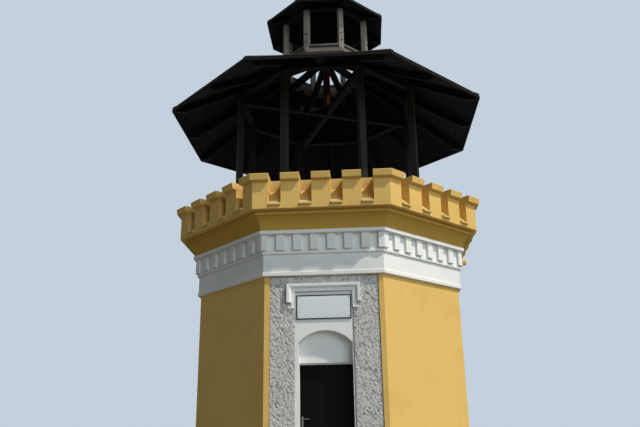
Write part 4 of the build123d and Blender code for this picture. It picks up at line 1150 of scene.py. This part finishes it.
class TOWER_OT_doorway(bpy.types.Operator):
    """Make the bare plate over the door, with its rim and screws, and the plaster of the reveals"""
    bl_idname = "tower.doorway"
    bl_label = "Plate and reveals"

    def execute(self, context):
        low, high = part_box("sign_plate")
        sheet = crowned_sheet(low.x + PLATE_RIM, high.x - PLATE_RIM, low.z + PLATE_RIM, high.z - PLATE_RIM,
                              -low.y - PLATE_SINK, PLATE_CROWN)
        make_piece("plate_sheet", sheet, "enamel", smooth=40)

        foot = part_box("threshold")[1].z + COAT_JOINT
        reveals = [
            rounded_prism(rectangle(x, x + REVEAL_COAT, *REVEAL_DEPTH), foot, REVEAL_HEAD, COAT_ARRIS)
            for x in (REVEAL_SIDES[0] + SEAT, REVEAL_SIDES[1] - REVEAL_COAT - SEAT)
        ]
        make_piece("reveal_plaster", join(*reveals), "white plaster")

        # The arch's back stands nearer to the face than the door, as the patch of sun in its corner shows
        left, right = REVEAL_SIDES[0] + REVEAL_COAT, REVEAL_SIDES[1] - REVEAL_COAT
        middle, half = (left + right) / 2, (right - left) / 2
        centre, radius = ARCH_CROWN - ARCH_RADIUS, ARCH_RADIUS - COAT_ARRIS
        reach = math.asin(half / radius)
        turn = np.linspace(reach, -reach, ARC_POINTS)
        arc = np.stack([middle + radius * np.sin(turn), centre + radius * np.cos(turn)], -1)
        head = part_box("door_head_strip")[1].z + COAT_ARRIS
        outline = [(left, head), (right, head), *arc.tolist()]
        back = to_front(rounded_prism(outline, COAT_JOINT, NICHE_FILL, COAT_ARRIS), -REVEAL_DEPTH[1])
        make_piece("niche_plaster", back, "white plaster")

        border = mitred_course(rectangle(low.x, high.x, low.z, high.z), RIM, COAT_ARRIS, closed=True)
        make_piece("plate_rim", to_front(border, -low.y), "enamel rim")
        screw = turned_profile(SCREW, SCREW_SIDES, -math.pi / 2)
        inset = PLATE_RIM + SCREW_INSET
        places = [
            (x, low.y + SCREW_SINK, z)
            for x in (low.x + inset, high.x - inset) for z in (low.z + inset, high.z - inset)
        ]
        make_piece("plate_screws", repeat(screw, spin([0.0]), places), "steel", smooth=35)
        return {"FINISHED"}


class TOWER_OT_stage(bpy.types.Operator):
    """Make the floor, the lights and the camera"""
    bl_idname = "tower.stage"
    bl_label = "Stage"

    def execute(self, context):
        scene, stage = context.scene, context.scene.tower_stage
        scene.view_settings.view_transform = "Standard"

        # The floor is rings of points, radius * (cos, sin) of an even angle
        radius, angle = np.meshgrid(FLOOR_RADII, np.linspace(0, 2 * math.pi, FLOOR_SIDES, endpoint=False))
        disc = np.stack([radius * np.cos(angle), radius * np.sin(angle), np.zeros_like(angle)], -1)
        mesh = bpy.data.meshes.new("floor")
        quads = grid_quads(len(FLOOR_RADII), FLOOR_SIDES, closed=True)
        mesh.from_pydata(disc.transpose(1, 0, 2).reshape(-1, 3), [], quads.tolist())
        mesh.materials.append(floor_finish())
        floor = add_object("floor", mesh)

        world = bpy.data.worlds.new("Pale studio")
        scene.world = world
        world.use_nodes = True
        tree = world.node_tree
        tree.nodes.clear()
        seen = seen_by(tree, "Is Camera Ray", "Is Transmission Ray", "Is Glossy Ray")
        fill = node(tree, "Background", inputs={"Color": linear("#DDEBFF"), "Strength": stage.surround})
        backdrop = node(tree, "Background", inputs={"Color": linear(BACKDROP), "Strength": 1.0})
        mixed = node(tree, "MixShader", inputs={0: seen, 1: fill, 2: backdrop})
        node(tree, "OutputWorld", inputs={"Surface": mixed})

        for name, strength, width, tint, towards in (
            ("key", stage.key, stage.key_angle, "#FFF6E9", KEY_DIRECTION),
            ("fill", stage.fill, stage.fill_angle, "#E4F4FF", FILL_DIRECTION),
        ):
            lamp = bpy.data.lights.new(name, "SUN")
            lamp.energy = strength
            lamp.angle = width
            lamp.color = linear(tint)[:3]
            light = add_object(name, lamp)
            light.rotation_mode = "QUATERNION"
            light.rotation_quaternion = Vector(towards).to_track_quat("Z", "Y")

        lens = bpy.data.cameras.new("camera")
        lens.sensor_width = SENSOR_WIDTH
        lens.lens = CAMERA_LENS
        lens.clip_end = CLIP_END
        yaw, pitch, roll = (math.radians(v) for v in CAMERA_TURN)
        forward = Vector((math.sin(yaw) * math.cos(pitch), math.cos(yaw) * math.cos(pitch), math.sin(pitch)))
        level = Vector((math.cos(yaw), -math.sin(yaw), 0))
        upward = level.cross(forward)
        right = math.cos(roll) * level + math.sin(roll) * upward
        up = math.cos(roll) * upward - math.sin(roll) * level
        scene.camera = add_object("camera", lens)
        scene.camera.matrix_world = Matrix(tuple(zip(right, up, -forward, CAMERA_PLACE))).to_4x4()
        return {"FINISHED"}


class TOWER_PT_panel(bpy.types.Panel):
    """The tower's steps and settings"""
    bl_label = "Observation tower"
    bl_idname = "TOWER_PT_panel"
    bl_space_type = "VIEW_3D"
    bl_region_type = "UI"
    bl_category = "Tower"

    def draw(self, context):
        for group, keys in (
            (context.scene.tower_sizes, TowerSizes.__annotations__),
            (context.scene.tower_colours, TowerColours.__annotations__),
            (context.scene.tower_stage, TowerStage.__annotations__),
        ):
            box = self.layout.box()
            for key in keys:
                box.prop(group, key)
        for step in STEPS:
            self.layout.operator(step.bl_idname)


STEPS = (
    TOWER_OT_finishes, TOWER_OT_roughcast, TOWER_OT_courses, TOWER_OT_battlements, TOWER_OT_roof,
    TOWER_OT_posts, TOWER_OT_doorway, TOWER_OT_stage,
)
GROUPS = {"tower_sizes": TowerSizes, "tower_colours": TowerColours, "tower_stage": TowerStage}


def register():
    for group in (*GROUPS.values(), *STEPS, TOWER_PT_panel):
        bpy.utils.register_class(group)
    for name, group in GROUPS.items():
        setattr(bpy.types.Scene, name, PointerProperty(type=group))


def unregister():
    for name in GROUPS:
        delattr(bpy.types.Scene, name)
    for group in reversed((*GROUPS.values(), *STEPS, TOWER_PT_panel)):
        bpy.utils.unregister_class(group)


def main():
    register()
    for step in STEPS:
        call = getattr(bpy.ops.tower, step.bl_idname.split(".")[1])
        call()


if __name__ == "__main__":
    main()
